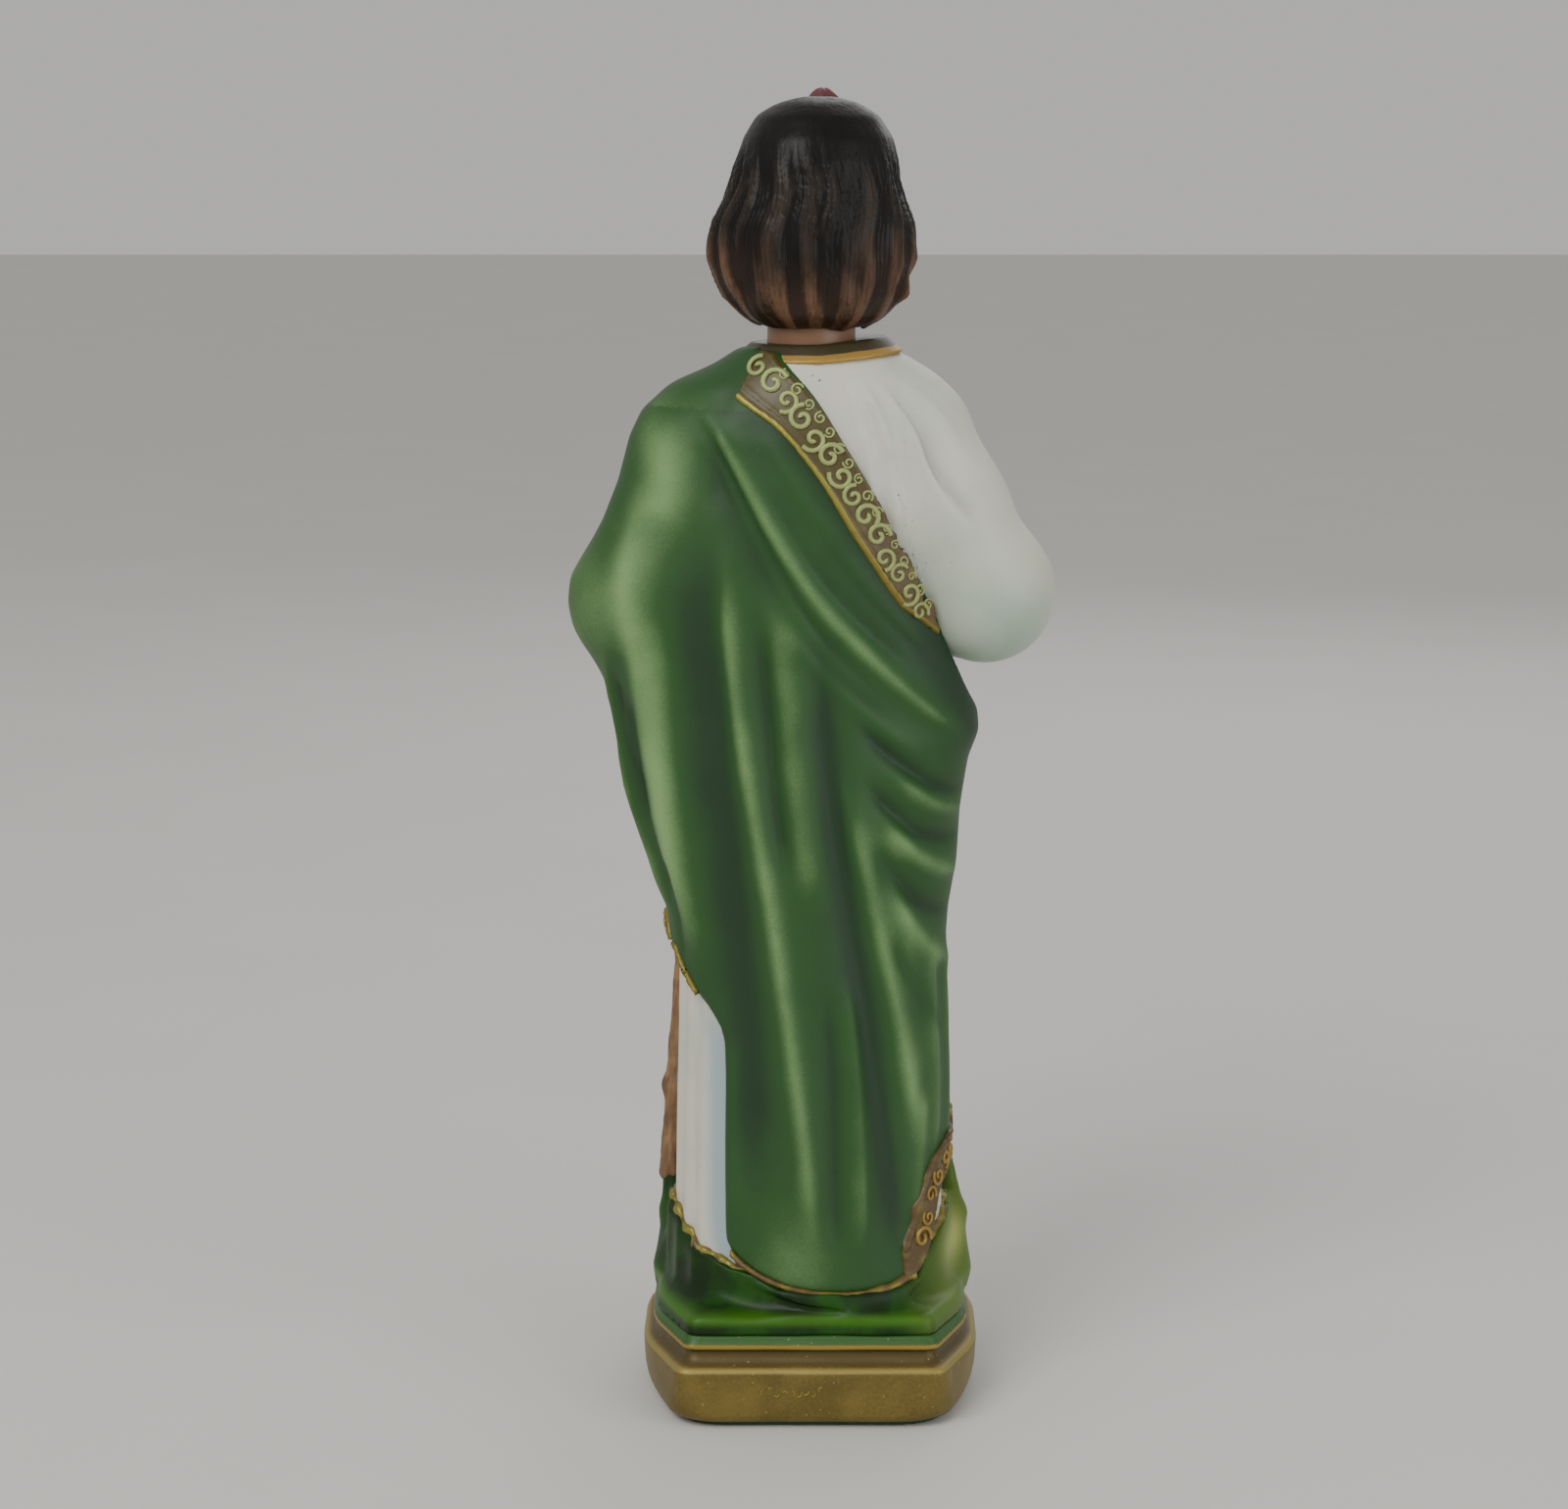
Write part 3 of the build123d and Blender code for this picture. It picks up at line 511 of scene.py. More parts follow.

# %% [markdown]
# ## The mantle's edges and folds
#
# The upper edge runs from the left of the neck down across the back to the right hip, round the front and up
# over the left forearm. The lower edge is low at the back and climbs across the front. Each fold is a line
# with a height and a width to either side; a fold that is narrow on one side looks rolled, as heavy cloth
# does.

# %% Edges
upper_line = MANTLE.back([(-5.0, 165.6), (0.3, 159.4), (5.7, 151.4), (10.7, 142.8), (15.2, 134.2),
                          (19.4, 126.0),
                          (22.4, 118.6)])
upper_line += [(86, 111.5), (112, 106.5), (145, 103.5), (172, 105.5), (196, 112), (212, 121), (219, 133),
               (220, 148), (224, 161), (232, 165.6), (285, 166.4)]
lower_line = MANTLE.back([(-21.4, 72.6), (-19.4, 68.6), (-16.4, 64.4), (-14.5, 60.6), (-14.1, 56.0),
                          (-14.0, 42.0),
                          (-13.9, 31.0), (-13.2, 26.6), (-9.5, 23.4), (-4.0, 21.2), (3.0, 20.1), (10.0, 20.1),
                          (15.2, 21.2)])
lower_line += [(53, 22.6), (59, 25.6), (64, 30.0), (70, 34.6), (84, 37.0), (108, 40.5), (140, 46.5),
               (180, 55.6),
               (215, 63.5), (250, 70.5), (275, 73.4)]
over_edge = Unrolled(MANTLE, 10, 172)
over_edge.edge(upper_line)
under_edge = Unrolled(MANTLE, 10, 172)
under_edge.edge(lower_line)


def mantle_margin(p):
    """How far a point is past the mantle's nearest edge, below zero on the mantle."""
    return soft_max(over_edge.at(p), -under_edge.at(p), 1.0)


# %% Folds across the back
mantle_relief = Unrolled(MANTLE, 10, 172)


def back_fold(points, height, left, right, sharp=1.6, fade=0.2):
    mantle_relief.fold(MANTLE.back(points), height, left, right, sharp, fade)


# the long roll that falls from behind the left elbow, flat on its left and steep on its right
back_fold([(-25.5, 150), (-26.8, 138), (-26.6, 124), (-24.8, 110), (-22.6, 97), (-20.4, 86), (-18, 75),
           (-15.8, 66)],
          1.5, 2.4, 3.2, fade=0.25)
# the broad hollow beside it
back_fold([(-18.5, 146), (-17.6, 132), (-16.6, 116), (-14.8, 100), (-13, 86), (-11.2, 72), (-9.6, 56),
           (-9.2, 30)],
          -1.2, 4.0, 3.0, sharp=2, fade=0.2)
# the rolls down the middle
back_fold([(-13, 140), (-12.2, 126), (-10.8, 112), (-9, 100), (-6.8, 87), (-4.6, 72), (-2.6, 57),
           (-0.8, 42), (0.8, 24)],
          1.3, 1.9, 1.6, fade=0.15)
back_fold([(-6, 134), (-4, 119), (-2.6, 104), (-1.2, 92), (0.6, 78)], 1.0, 2.4, 3.0, sharp=2)
back_fold([(-8.4, 128), (-7.2, 113), (-5.8, 98), (-3.8, 84)], -0.8, 1.4, 1.4)
# the deep valley right of the middle, and the roll beside it
back_fold([(1.4, 124), (2.0, 112), (3.2, 99), (5.2, 86), (7.4, 73), (9.6, 59), (11.6, 45), (13.2, 33),
           (14.4, 21)],
          -1.7, 2.6, 1.6, sharp=1.4, fade=0.18)
back_fold([(4.6, 103), (7.2, 90), (10, 77), (12.6, 65), (15, 52), (16.6, 40)], 1.2, 1.6, 2.6, sharp=1.6)
back_fold([(10.6, 98), (12.6, 87), (14.6, 75), (16.4, 63)], 0.5, 1.6, 2.6)
# rolls and hollows at the foot
back_fold([(5.4, 72), (7.0, 57), (7.8, 42), (7.8, 24)], 0.85, 2.2, 1.4)
back_fold([(2.4, 70), (3.4, 54), (3.8, 38), (4.2, 24)], -0.75, 1.6, 1.4)
back_fold([(-12.4, 62), (-12.2, 45), (-11.8, 30)], 0.5, 1.0, 1.6)
back_fold([(17.0, 52), (16.8, 40), (16.0, 30)], 0.6, 1.6, 1.8)
# the roll that follows the border and runs on to the right hip, with its hollows
back_fold([(-16.6, 159), (-12.6, 152), (-8, 143.4), (-3.2, 134.6), (2.2, 126.6), (7.6, 120.6), (13.6, 114.6),
           (19.4, 109.6), (24.6, 106)], 1.25, 1.3, 2.0, sharp=1.5, fade=0.12)
back_fold([(-18.6, 156), (-14.6, 147), (-10, 138), (-5.4, 129), (-0.6, 121.4), (5, 115.4), (11, 110.2),
           (17, 105.4)],
          -0.7, 2.2, 1.4, sharp=1.5)
back_fold([(-17.8, 158), (-13.7, 149.6), (-9.1, 140.8), (-4.4, 132), (0.7, 124.2), (6.3, 118.2),
           (12.2, 112.6)],
          -0.6, 0.55, 0.55, sharp=1.3, fade=0.25)
back_fold([(-15, 160), (-10.2, 151), (-5, 141.8), (0.4, 133.2), (6, 126.6), (12, 120.6), (18, 115)],
          -0.55, 1.0, 1.2, sharp=1.4)
back_fold([(-8, 156), (-2.6, 146.4), (2.8, 137.4), (8.4, 130), (14.4, 123.4), (20.4, 117)], 0.55, 1.4, 1.6)
back_fold([(-1, 143), (4.6, 134), (10, 127.4), (16, 121), (21.4, 116)], -0.45, 0.9, 1.0, sharp=1.4)
back_fold([(-6, 128), (0, 119.6), (6, 113.4), (12, 108), (17.6, 103)], 0.75, 1.4, 1.8)
# the folds that wrap round the right hip and break its outline
back_fold([(6, 111), (11, 106), (16, 101.6), (20.4, 98.6), (24.4, 97.6)], -1.2, 1.5, 1.2, sharp=1.4, fade=0.3)
back_fold([(10, 104), (15.4, 98.8), (20, 95.8), (24.4, 94.6)], 1.15, 1.6, 2.0, fade=0.35)
back_fold([(7.4, 102), (13, 95.4), (18, 91.4), (23.4, 90.2)], -1.1, 1.3, 1.3, sharp=1.4, fade=0.3)
back_fold([(9.6, 96), (14.8, 89.6), (19.6, 86), (24.2, 84.8)], 1.25, 1.7, 2.2, fade=0.35)
back_fold([(8.6, 92), (13.6, 85), (17.8, 80.4), (22, 77.8)], -1.15, 1.5, 1.4, sharp=1.4, fade=0.3)
back_fold([(10.6, 85), (14.6, 78), (18.4, 73), (21.2, 69.6)], 0.9, 1.6, 2.2, fade=0.3)
back_fold([(11.4, 78), (14.8, 70), (18, 64), (20.6, 59)], -0.6, 1.3, 1.3, sharp=1.4, fade=0.3)
# slender creases under the left elbow
back_fold([(-30.5, 118), (-29.4, 109), (-27.4, 100), (-25.4, 92)], -1.0, 1.0, 0.9, sharp=1.3)
back_fold([(-31.5, 121), (-30.6, 112), (-28.8, 103), (-26.8, 93)], 0.5, 1.2, 1.0)
back_fold([(-22.4, 88), (-20.6, 78), (-19.6, 70)], -0.5, 0.9, 0.9, sharp=1.3)
# the hollow under the shoulder blade, and a faint roll over the shoulder
back_fold([(-21.6, 160), (-23.4, 150), (-23.4, 138)], 0.5, 3.0, 2.4, sharp=2)
back_fold([(-10, 164), (-13.4, 158), (-15, 150), (-14.8, 141)], -0.4, 1.4, 1.8)

# %% Folds at the sides and across the front
for start, end, height, width in [
    (-116, -104, 1.2, 2.0), (-100, -92, 1.0, 1.7), (-130, -118, 1.1, 1.9), (-84, -78, 0.9, 1.5),
]:
    mantle_relief.fold([(start, 117), (start + 3, 104), ((start + end) / 2, 90), (end, 76)], height, width,
                       width)
    mantle_relief.fold([(start + 8, 116), (start + 9, 102), ((start + end) / 2 + 7, 90), (end + 6, 77)],
                       -0.8 * height, 1.2, 1.2, 1.3)
for i in range(6):
    drop = 11.0 * i
    swag = [(232 - 3 * i, 110 - 0.55 * drop), (214, 101 - 0.85 * drop), (190, 94 - drop),
            (162, 90 - 1.02 * drop),
            (134, 90 - 0.98 * drop), (108, 92 - 0.9 * drop)]
    swag = [(turn, max(z, 40 + 0.1 * abs(180 - turn))) for turn, z in swag]
    mantle_relief.fold(swag, 1.25, 1.9, 1.3, 1.5)
    mantle_relief.fold([(turn, z - 3.6) for turn, z in swag], -0.8, 1.2, 1.2, 1.4)
for i, turn in enumerate((226, 234, 243)):
    mantle_relief.fold([(turn, 160 - 2 * i), (turn + 3, 147), (turn + 2, 134), (turn - 3, 124)], 1.0, 1.6,
                       1.3)
for turn in (66, 82, 98, 114):
    mantle_relief.fold([(turn - 4, 76), (turn, 62), (turn + 1, 50), (turn - 2, 38)], 0.8, 1.7, 1.4)
print("mantle relief, mm:", mantle_relief.values.min().round(2), "to", mantle_relief.values.max().round(2))

# %% [markdown]
# ## The tunic's folds
#
# The tunic shows at the right shoulder, where fine folds run down from the collar, on the chest, and below
# the mantle, where it hangs straight to the ground in pipes.

# %% Tunic folds
tunic_relief = Unrolled(TUNIC, 10, 172)
for across, foot, height, width in [
    (9.2, 12.6, 1.0, 0.8), (12.4, 17.0, 1.1, 0.7), (7.2, 9.6, 0.6, 0.6), (16.4, 22.0, 0.6, 1.2),
]:
    tunic_relief.fold(TUNIC.back([(0.72 * across, 163), (across, 157), (0.5 * (across + foot), 149),
                                  (foot, 137)]),
                      height, width, 1.3 * width)
tunic_relief.fold(TUNIC.back([(9.2, 163), (13.0, 157), (15.6, 149), (17.6, 138)]), -0.8, 0.9, 0.8, 1.3)
tunic_relief.fold(TUNIC.back([(6.4, 160), (9.8, 152), (12.6, 143)]), -0.5, 0.8, 0.8, 1.3)
tunic_relief.fold(TUNIC.back([(-17.9, 60), (-18.1, 45), (-18.0, 30)]), -0.5, 0.7, 0.6, 1.2)
for i in range(9):
    turn = 126 + 13.5 * i
    tunic_relief.fold([(turn, 78), (turn + 2, 60), (turn + 1 - 2 * (i % 2), 42), (turn, 16)],
                      1.15 - 0.25 * (i % 3), 1.7, 1.5, fade=0.1)
    tunic_relief.fold([(turn + 6.5, 78), (turn + 8, 60), (turn + 7.5, 42), (turn + 6.5, 16)],
                      -0.8, 1.0, 1.0, 1.3, fade=0.1)
for i in range(5):
    turn = 250 + 13 * i
    tunic_relief.fold([(turn, 80), (turn + 1, 52), (turn, 16)], 0.8 - 0.2 * (i % 2), 1.8, 1.6, fade=0.1)
for i in range(6):
    turn = 146 + 12.5 * i
    tunic_relief.fold([(180 + 0.35 * (turn - 180), 163), (180 + 0.7 * (turn - 180), 153), (turn, 138),
                       (turn + 2, 122),
                       (turn, 106)], 0.75 - 0.2 * (i % 2), 1.4, 1.2, fade=0.12)
    tunic_relief.fold([(180 + 0.4 * (turn - 174), 161), (turn + 6, 138), (turn + 7, 120)], -0.5, 0.9, 0.9,
                      1.3)
print("tunic relief, mm:", tunic_relief.values.min().round(2), "to", tunic_relief.values.max().round(2))

# %% Fields of the white garment and the mantle
def torso(p):
    return TUNIC.field(p)


def right_arm(p):
    return limb(p, right_arm_line, blend=4.0)


def sleeve_folds(p):
    """Soft folds that fan out from the inside of the right elbow, and gather at the wrist."""
    reach = p - np.array([-15.0, -6.0, NECKLINE - 30.0])
    fan = np.arctan2(reach[:, 2], -reach[:, 0])
    distance = np.linalg.norm(reach, axis=1)
    strength = np.clip((distance - 5) / 8, 0, 1) * np.clip((2.0 - p[:, 1]) / 9, 0, 1)
    return 0.55 * strength * np.sin(11 * fan + 0.08 * distance)


def white_cloth(p):
    """The tunic and its right sleeve as one skin, folds and all."""
    body = soft_min(torso(p), right_arm(p), 4.5)
    return 0.92 * (body - tunic_relief.at(p) * np.clip((26 + p[:, 0]) / 8, 0, 1) - sleeve_folds(p)
                   - 0.07 * ripple(p, 14, 3))


SEAM_LAP = 0.8
LEAST_COVER = 1.0  # the mantle stands at least this far off the tunic
MANTLE_GAP = 0.7


def tunic_field(p):
    own_side = torso(p) - right_arm(p) - SEAM_LAP
    field = np.maximum(white_cloth(p), own_side)
    field = soft_max(field, p[:, 2] - (NECKLINE - 0.1), 0.8)
    return soft_max(field, GROUND - 1.5 - p[:, 2], 0.8)


def sleeve_field(p):
    own_side = right_arm(p) - torso(p) - SEAM_LAP
    field = np.maximum(white_cloth(p), own_side)
    way = RIGHT_WRIST - np.array(right_arm_line[-2][0])
    field = soft_max(field, side_of(p, RIGHT_WRIST, way), 1.2)
    hollow = limb(p, [(tuple(RIGHT_WRIST - 0.25 * way), 3.6), (tuple(RIGHT_WRIST + 0.3 * way), 5.6)])
    return soft_max(field, -hollow, 0.9)


def mantle_skin(p):
    """The mantle's outside, edges left out."""
    wrist = np.array(left_arm_line[-1][0])
    arm = soft_max(limb(p, left_arm_line, blend=5.0), side_of(p, wrist, wrist - left_arm_line[-2][0]), 1.5)
    body = soft_min(MANTLE.field(p), arm, 5.0)
    skin = 0.9 * (body - mantle_relief.at(p) - 0.08 * ripple(p, 17, 5))
    return soft_min(skin, 0.9 * (torso(p) - tunic_relief.at(p)) - LEAST_COVER, 0.8)


def mantle_field(p):
    edge = soft_max(mantle_skin(p), mantle_margin(p), 1.5)
    edge = soft_max(edge, p[:, 2] - (NECKLINE + 0.9), 1.0)
    return np.maximum(edge, -(white_cloth(p) + MANTLE_GAP))


# %% [markdown]
# ## Paint made from the folds
#
# The colour is sprayed: pale where the cloth stands up, deep in the hollows, and it stands for light as well:
# painted shade in the hollows and a painted highlight on the ridges. The relief itself is the best guide for
# that, so each vertex keeps the height of its fold, and its distance from the cloth's edge, for the paint,
# along with patches of painted light and painted shade.

# %% Cast the cloth
def cloth(name, field, low, high, relief, material):
    spots, faces = cast(field, low, high, GARMENT_STEP)
    x, y, z = spots.T
    # Painted light and shade on the mantle: lighter patches over the left shoulder, the left elbow, the left
    # of the back and low down, darker ones under the left elbow at the back and along the back border.
    painted_light_and_shade = 1.1 * np.exp(-((x - 21) / 6) ** 2 - ((z - NECKLINE + 17) / 12) ** 2)
    painted_light_and_shade = painted_light_and_shade + 0.95 * np.exp(-((x - 2.5) / 7) ** 2 - ((z - GROUND - 6) / 9) ** 2)
    painted_light_and_shade = painted_light_and_shade + 0.35 * np.exp(-((x + 16) / 4) ** 2 - ((z - GROUND - 36) / 20) ** 2)
    painted_light_and_shade = painted_light_and_shade + 1.0 * np.exp(-((x - 35) / 6) ** 2 - ((z - WAIST - 22) / 15) ** 2)
    painted_light_and_shade = painted_light_and_shade + 0.7 * np.exp(-((x - 23.5) / 3) ** 2 - ((z - WAIST + 2) / 24) ** 2) * (y > 0)
    painted_light_and_shade = painted_light_and_shade - 0.5 * np.exp(-((x - 28) / 4) ** 2 - ((z - WAIST - 2) / 12) ** 2) * (y > 0)
    painted_light_and_shade = painted_light_and_shade - 1.2 * np.exp(-((over_edge.at(spots) + 2) / 7) ** 2) * (y > 0) * (z < NECKLINE - 8)
    keep = {"fold": relief.at(spots), "over": over_edge.at(spots), "under": under_edge.at(spots),
            "painted_light_and_shade": painted_light_and_shade}
    return piece(name, spots, faces, material, keep)

# %% [markdown]
# ## Paint
#
# A paint is a small graph of shader nodes. Writing graphs by hand is tedious, so one class wraps a node's
# output and lets Python arithmetic build the maths nodes, and one method makes any other node from its
# settings and the values or links of its sockets.

# %% A small language for paint
class Wire:
    """A shader socket that takes part in arithmetic."""

    def __init__(self, paint, socket):
        self.paint = paint
        self.socket = socket

    def maths(self, operation, a, b=0.0):
        return self.paint.node("ShaderNodeMath", {"operation": operation}, {0: a, 1: b})

    def __add__(self, other):
        return self.maths("ADD", self, other)

    def __radd__(self, other):
        return self.maths("ADD", other, self)

    def __sub__(self, other):
        return self.maths("SUBTRACT", self, other)

    def __rsub__(self, other):
        return self.maths("SUBTRACT", other, self)

    def __mul__(self, other):
        return self.maths("MULTIPLY", self, other)

    def __rmul__(self, other):
        return self.maths("MULTIPLY", other, self)

    def larger(self, other):
        return self.maths("MAXIMUM", self, other)

    def rise(self, start, end):
        """0 up to start, 1 from end, and a soft slope between them."""
        return self.paint.node("ShaderNodeMapRange", {"interpolation_type": "SMOOTHSTEP"},
                               {"Value": self, "From Min": start, "From Max": end})


class Paint:
    """A material built from expressions."""

    def __init__(self, name):
        self.material = bpy.data.materials.new(name)
        self.material.use_nodes = True
        self.tree = self.material.node_tree
        self.tree.nodes.clear()
        self.place = self.node("ShaderNodeTexCoord", {}, {}, "Object")

    def node(self, kind, settings, sockets, out=0):
        """Any node: its settings are set first, then its sockets, from values, colours or wires."""
        made = self.tree.nodes.new(kind)
        for key, value in settings.items():
            setattr(made, key, value)
        for key, value in sockets.items():
            if isinstance(value, Wire):
                self.tree.links.new(value.socket, made.inputs[key])
            else:
                made.inputs[key].default_value = value
        return Wire(self, made.outputs[out])

    def kept(self, name):
        """A value that the mesh keeps at each vertex."""
        return self.node("ShaderNodeAttribute", {"attribute_name": name}, {}, "Fac")

    def noise(self, size, detail=3.0, rough=0.5, stretch=(1, 1, 1)):
        """Cloudy noise from 0 to 1, with lumps of a size in millimetres."""
        spread = self.node("ShaderNodeMapping", {}, {"Vector": self.place, "Scale": stretch})
        return self.node("ShaderNodeTexNoise", {},
                         {"Vector": spread, "Scale": 1 / (size * MM), "Detail": detail,
                                                     "Roughness": rough})

    def specks(self, size, share):
        """Small round specks, 1 inside a speck, over about a share of the surface."""
        cells = self.node("ShaderNodeTexVoronoi", {}, {"Vector": self.place, "Scale": 1 / (size * MM)},
                          "Distance")
        lucky = self.node("ShaderNodeTexVoronoi", {}, {"Vector": self.place, "Scale": 1 / (size * MM)},
                          "Color")
        chosen = self.node("ShaderNodeSeparateColor", {}, {"Color": lucky}).rise(1 - share, 1 - 0.9 * share)
        return (1 - cells.rise(0.12, 0.24)) * chosen

    def mix(self, share, first, second):
        """A colour between two others."""
        mixed = {"data_type": "RGBA", "clamp_factor": True}
        return self.node("ShaderNodeMix", mixed, {0: share, 6: first, 7: second}, 2)

    def height(self):
        """Height above the resting face, in millimetres."""
        return self.node("ShaderNodeSeparateXYZ", {}, {"Vector": self.place}, "Z") * (1 / MM)

    def finish(self, colour, rough, metal=0.0, bump=None, bump_depth=0.1, coat=0.0, coat_rough=0.2,
               shine=0.5):
        """Joins everything to one shader. bump is a wire, and bump_depth its depth in millimetres."""
        sockets = {"Base Color": colour, "Roughness": rough, "Metallic": metal,
                   "Coat Weight": coat, "Coat Roughness": coat_rough, "Specular IOR Level": shine}
        if bump is not None:
            sockets["Normal"] = self.node("ShaderNodeBump", {}, {"Height": bump, "Distance": bump_depth * MM,
                                                                  "Strength": 1.0})
        shader = self.node("ShaderNodeBsdfPrincipled", {}, sockets)
        self.output(shader)
        return self.material

    def output(self, shader):
        end = self.tree.nodes.new("ShaderNodeOutputMaterial")
        self.tree.links.new(shader.socket, end.inputs["Surface"])


def tint(red, green, blue):
    """A colour from 0-255 values as they look on a screen."""
    def linear(value):
        value /= 255
        return value / 12.92 if value <= 0.04045 else ((value + 0.055) / 1.055) ** 2.4
    return (linear(red), linear(green), linear(blue), 1.0)


# %% Green mantle
def green_paint():
    paint = Paint("green_spray")
    fold = paint.kept("fold")
    cloud = paint.noise(9, detail=4)
    mist = paint.noise(0.35, detail=1)
    # The level takes in the patches of painted light and painted shade kept on the vertices.
    level = fold + (cloud - 0.5) * 0.8 + (mist - 0.5) * 0.35 + paint.kept("painted_light_and_shade")
    # Sprayed deeper green in the hollows and paler green on the ridges; this is also painted shade in the
    # hollows and a painted highlight on the ridges.
    deep = paint.mix(level.rise(-1.3, 0.5), tint(23, 52, 26), tint(38, 80, 31))
    colour = paint.mix(level.rise(0.25, 2.4), deep, tint(132, 168, 108))
    return paint.finish(colour, 0.46 + 0.12 * cloud, bump=mist * 0.5 + paint.noise(2.4), bump_depth=0.03,
                        shine=0.4)


# %% White tunic
def white_paint():
    paint = Paint("white_spray")
    cloud = paint.noise(11, detail=4)
    mist = paint.noise(0.4, detail=1)
    over = paint.kept("over")
    under = paint.kept("under")
    z = paint.height()
    low = 1 - z.rise(NECKLINE - 52, NECKLINE - 18)
    # Painted shade, tinted green, on the white just above the mantle's upper edge.
    shade_near_mantle = (1 - (over + (cloud - 0.5) * 4).rise(0.0, 8.0)) * over.rise(-3, 0)
    # Painted shadow, bluish, on the tunic just below the mantle's lower edge, low on the figure.
    shadow_below_mantle = (1 - (-1.0 * under).rise(2.2, 4.8)) * (-1.0 * under).rise(-0.5,
                                                                        0.5) * (1 - z.rise(WAIST - 48,
                                                                                           WAIST - 38))
    colour = paint.mix((cloud + (mist - 0.5) * 0.2).rise(0.3, 0.8), tint(212, 208, 194), tint(190, 197, 184))
    # Painted shade, tinted green, on the lower part of the white above the mantle's upper edge.
    colour = paint.mix(low * over.rise(0, 1) * 0.5, colour, tint(158, 180, 154))
    # Painted shade in the tunic's creases, from the height of its folds.
    crease_shade = 1 - paint.kept("fold").rise(-0.7, 0.2)
    colour = paint.mix(crease_shade * 0.6, colour, tint(142, 150, 130))
    # Painted shade, tinted green, beside the mantle's upper edge, low on the figure.
    colour = paint.mix(shade_near_mantle * low * 0.6, colour, tint(128, 164, 142))
    # Painted shadow under the mantle's lower edge.
    colour = paint.mix(shadow_below_mantle * 0.85, colour, tint(158, 180, 190))
    chips = paint.specks(1.0, 0.45) * over.rise(1.4,
                                                1.7) * (1 - over.rise(3.0, 3.4)) * z.rise(NECKLINE - 34,
                                                                                          NECKLINE - 30)
    scratch = paint.specks(1.1, 0.2) * (-1.0 * under).rise(4.6, 5.0) * (1 - (-1.0 * under).rise(5.8, 6.4))
    colour = paint.mix(chips.larger(scratch * (1 - z.rise(GROUND + 30, GROUND + 34))), colour,
                       tint(96, 72, 48))
    return paint.finish(colour, 0.45, bump=mist * 0.5 + paint.noise(2.0), bump_depth=0.025, coat=0.1,
                        coat_rough=0.35)

# %% [markdown]
# ## The cloth, cast
#
# The tunic, the right sleeve and the mantle each become a closed mesh. The step is fine enough to hold a
# crease about a millimetre wide.

# %% Mantle, tunic and sleeve
GARMENT_STEP = 0.62
white = white_paint()
green = green_paint()
cloth("mantle", mantle_field, (-31, -32, GROUND - 3), (43, 25, NECKLINE + 5), mantle_relief, green)
cloth("tunic", tunic_field, (-25, -24, GROUND - 5), (25, 22, NECKLINE + 4), tunic_relief, white)
cloth("right_sleeve", sleeve_field, (-41, -31, NECKLINE - 54), (-2, 16, NECKLINE - 1), tunic_relief, white)


# %% Cuffs and collar
def ring_field(p, centre, axis, radius, thick, height):
    """A soft-edged ring round an axis."""
    axis = np.array(axis, float) / np.linalg.norm(axis)
    q = p - np.array(centre, float)
    up = q @ axis
    out = np.linalg.norm(q - up[:, None] * axis, axis=1)
    return np.hypot(np.maximum(np.abs(out - radius) - thick, 0), np.maximum(np.abs(up) - height, 0)) - 0.5


CUFF_REACH = 9
CUFF_STEP = 0.4
CUFF_MARKS = {"fold": 0.4, "over": 9.0, "under": 9.0}  # flat, and far from any edge


def around(centre, reach):
    return np.array(centre, float) - reach, np.array(centre, float) + reach


right_way = RIGHT_WRIST - np.array(right_arm_line[-2][0])
right_way /= np.linalg.norm(right_way)
right_cuff_at = RIGHT_WRIST - 0.4 * right_way
left_way = LEFT_WRIST - np.array([26.4, -12.0, NECKLINE - 44.4])
left_way /= np.linalg.norm(left_way)
left_cuff_at = LEFT_WRIST - 1.6 * left_way
for name, centre, way, radius in [
    ("right_cuff", right_cuff_at, right_way, 3.9),
    ("left_cuff", left_cuff_at, left_way, 4.2),
]:
    def cuff_field(p, centre=centre, way=way, radius=radius):
        pleats = 0.12 * np.sin(9 * np.arctan2(p[:, 2] - centre[2], p[:, 0] - centre[0]))
        return soft_min(ring_field(p, centre, way, radius - 1.4, 1.2, 0.9) + pleats,
                        limb(p, [(tuple(centre - 2.2 * way), radius - 0.9), (tuple(centre), radius - 1.2)]),
                        0.8)
    cast_piece(name, cuff_field, *around(centre, CUFF_REACH), CUFF_STEP, white,
               lambda spots: {key: np.full(len(spots), value) for key, value in CUFF_MARKS.items()})

# %% [markdown]
# ## Gilding
#
# The collar, the borders and the hems are brushed with gold over brown. Gold catches on what stands out and
# the brown stays in the hollows, so each vertex keeps how far it stands out, for the paint.

# %% Gold, and its darker cousins
def gilt_paint(name, bright, dark, metal=0.55):
    paint = Paint(name)
    cloud = paint.noise(3.5, detail=5)
    stands = (paint.kept("stands") + (cloud - 0.5) * 0.5).rise(0.25, 0.75)
    low = (1 - paint.height().rise(NECKLINE - 38, NECKLINE - 12)) * paint.kept("back")
    colour = paint.mix(stands, tint(*dark), tint(*bright))
    colour = paint.mix(low * 0.8, colour,
                       paint.mix((stands * 0.35).larger(cloud.rise(0.5, 0.75) * 0.45), tint(88, 66, 27),
                                 tint(*bright)))
    return paint.finish(colour, 0.34 + 0.2 * cloud, metal * stands, bump=paint.noise(0.9, detail=2),
                        bump_depth=0.05,
                        coat=0.1, coat_rough=0.3)


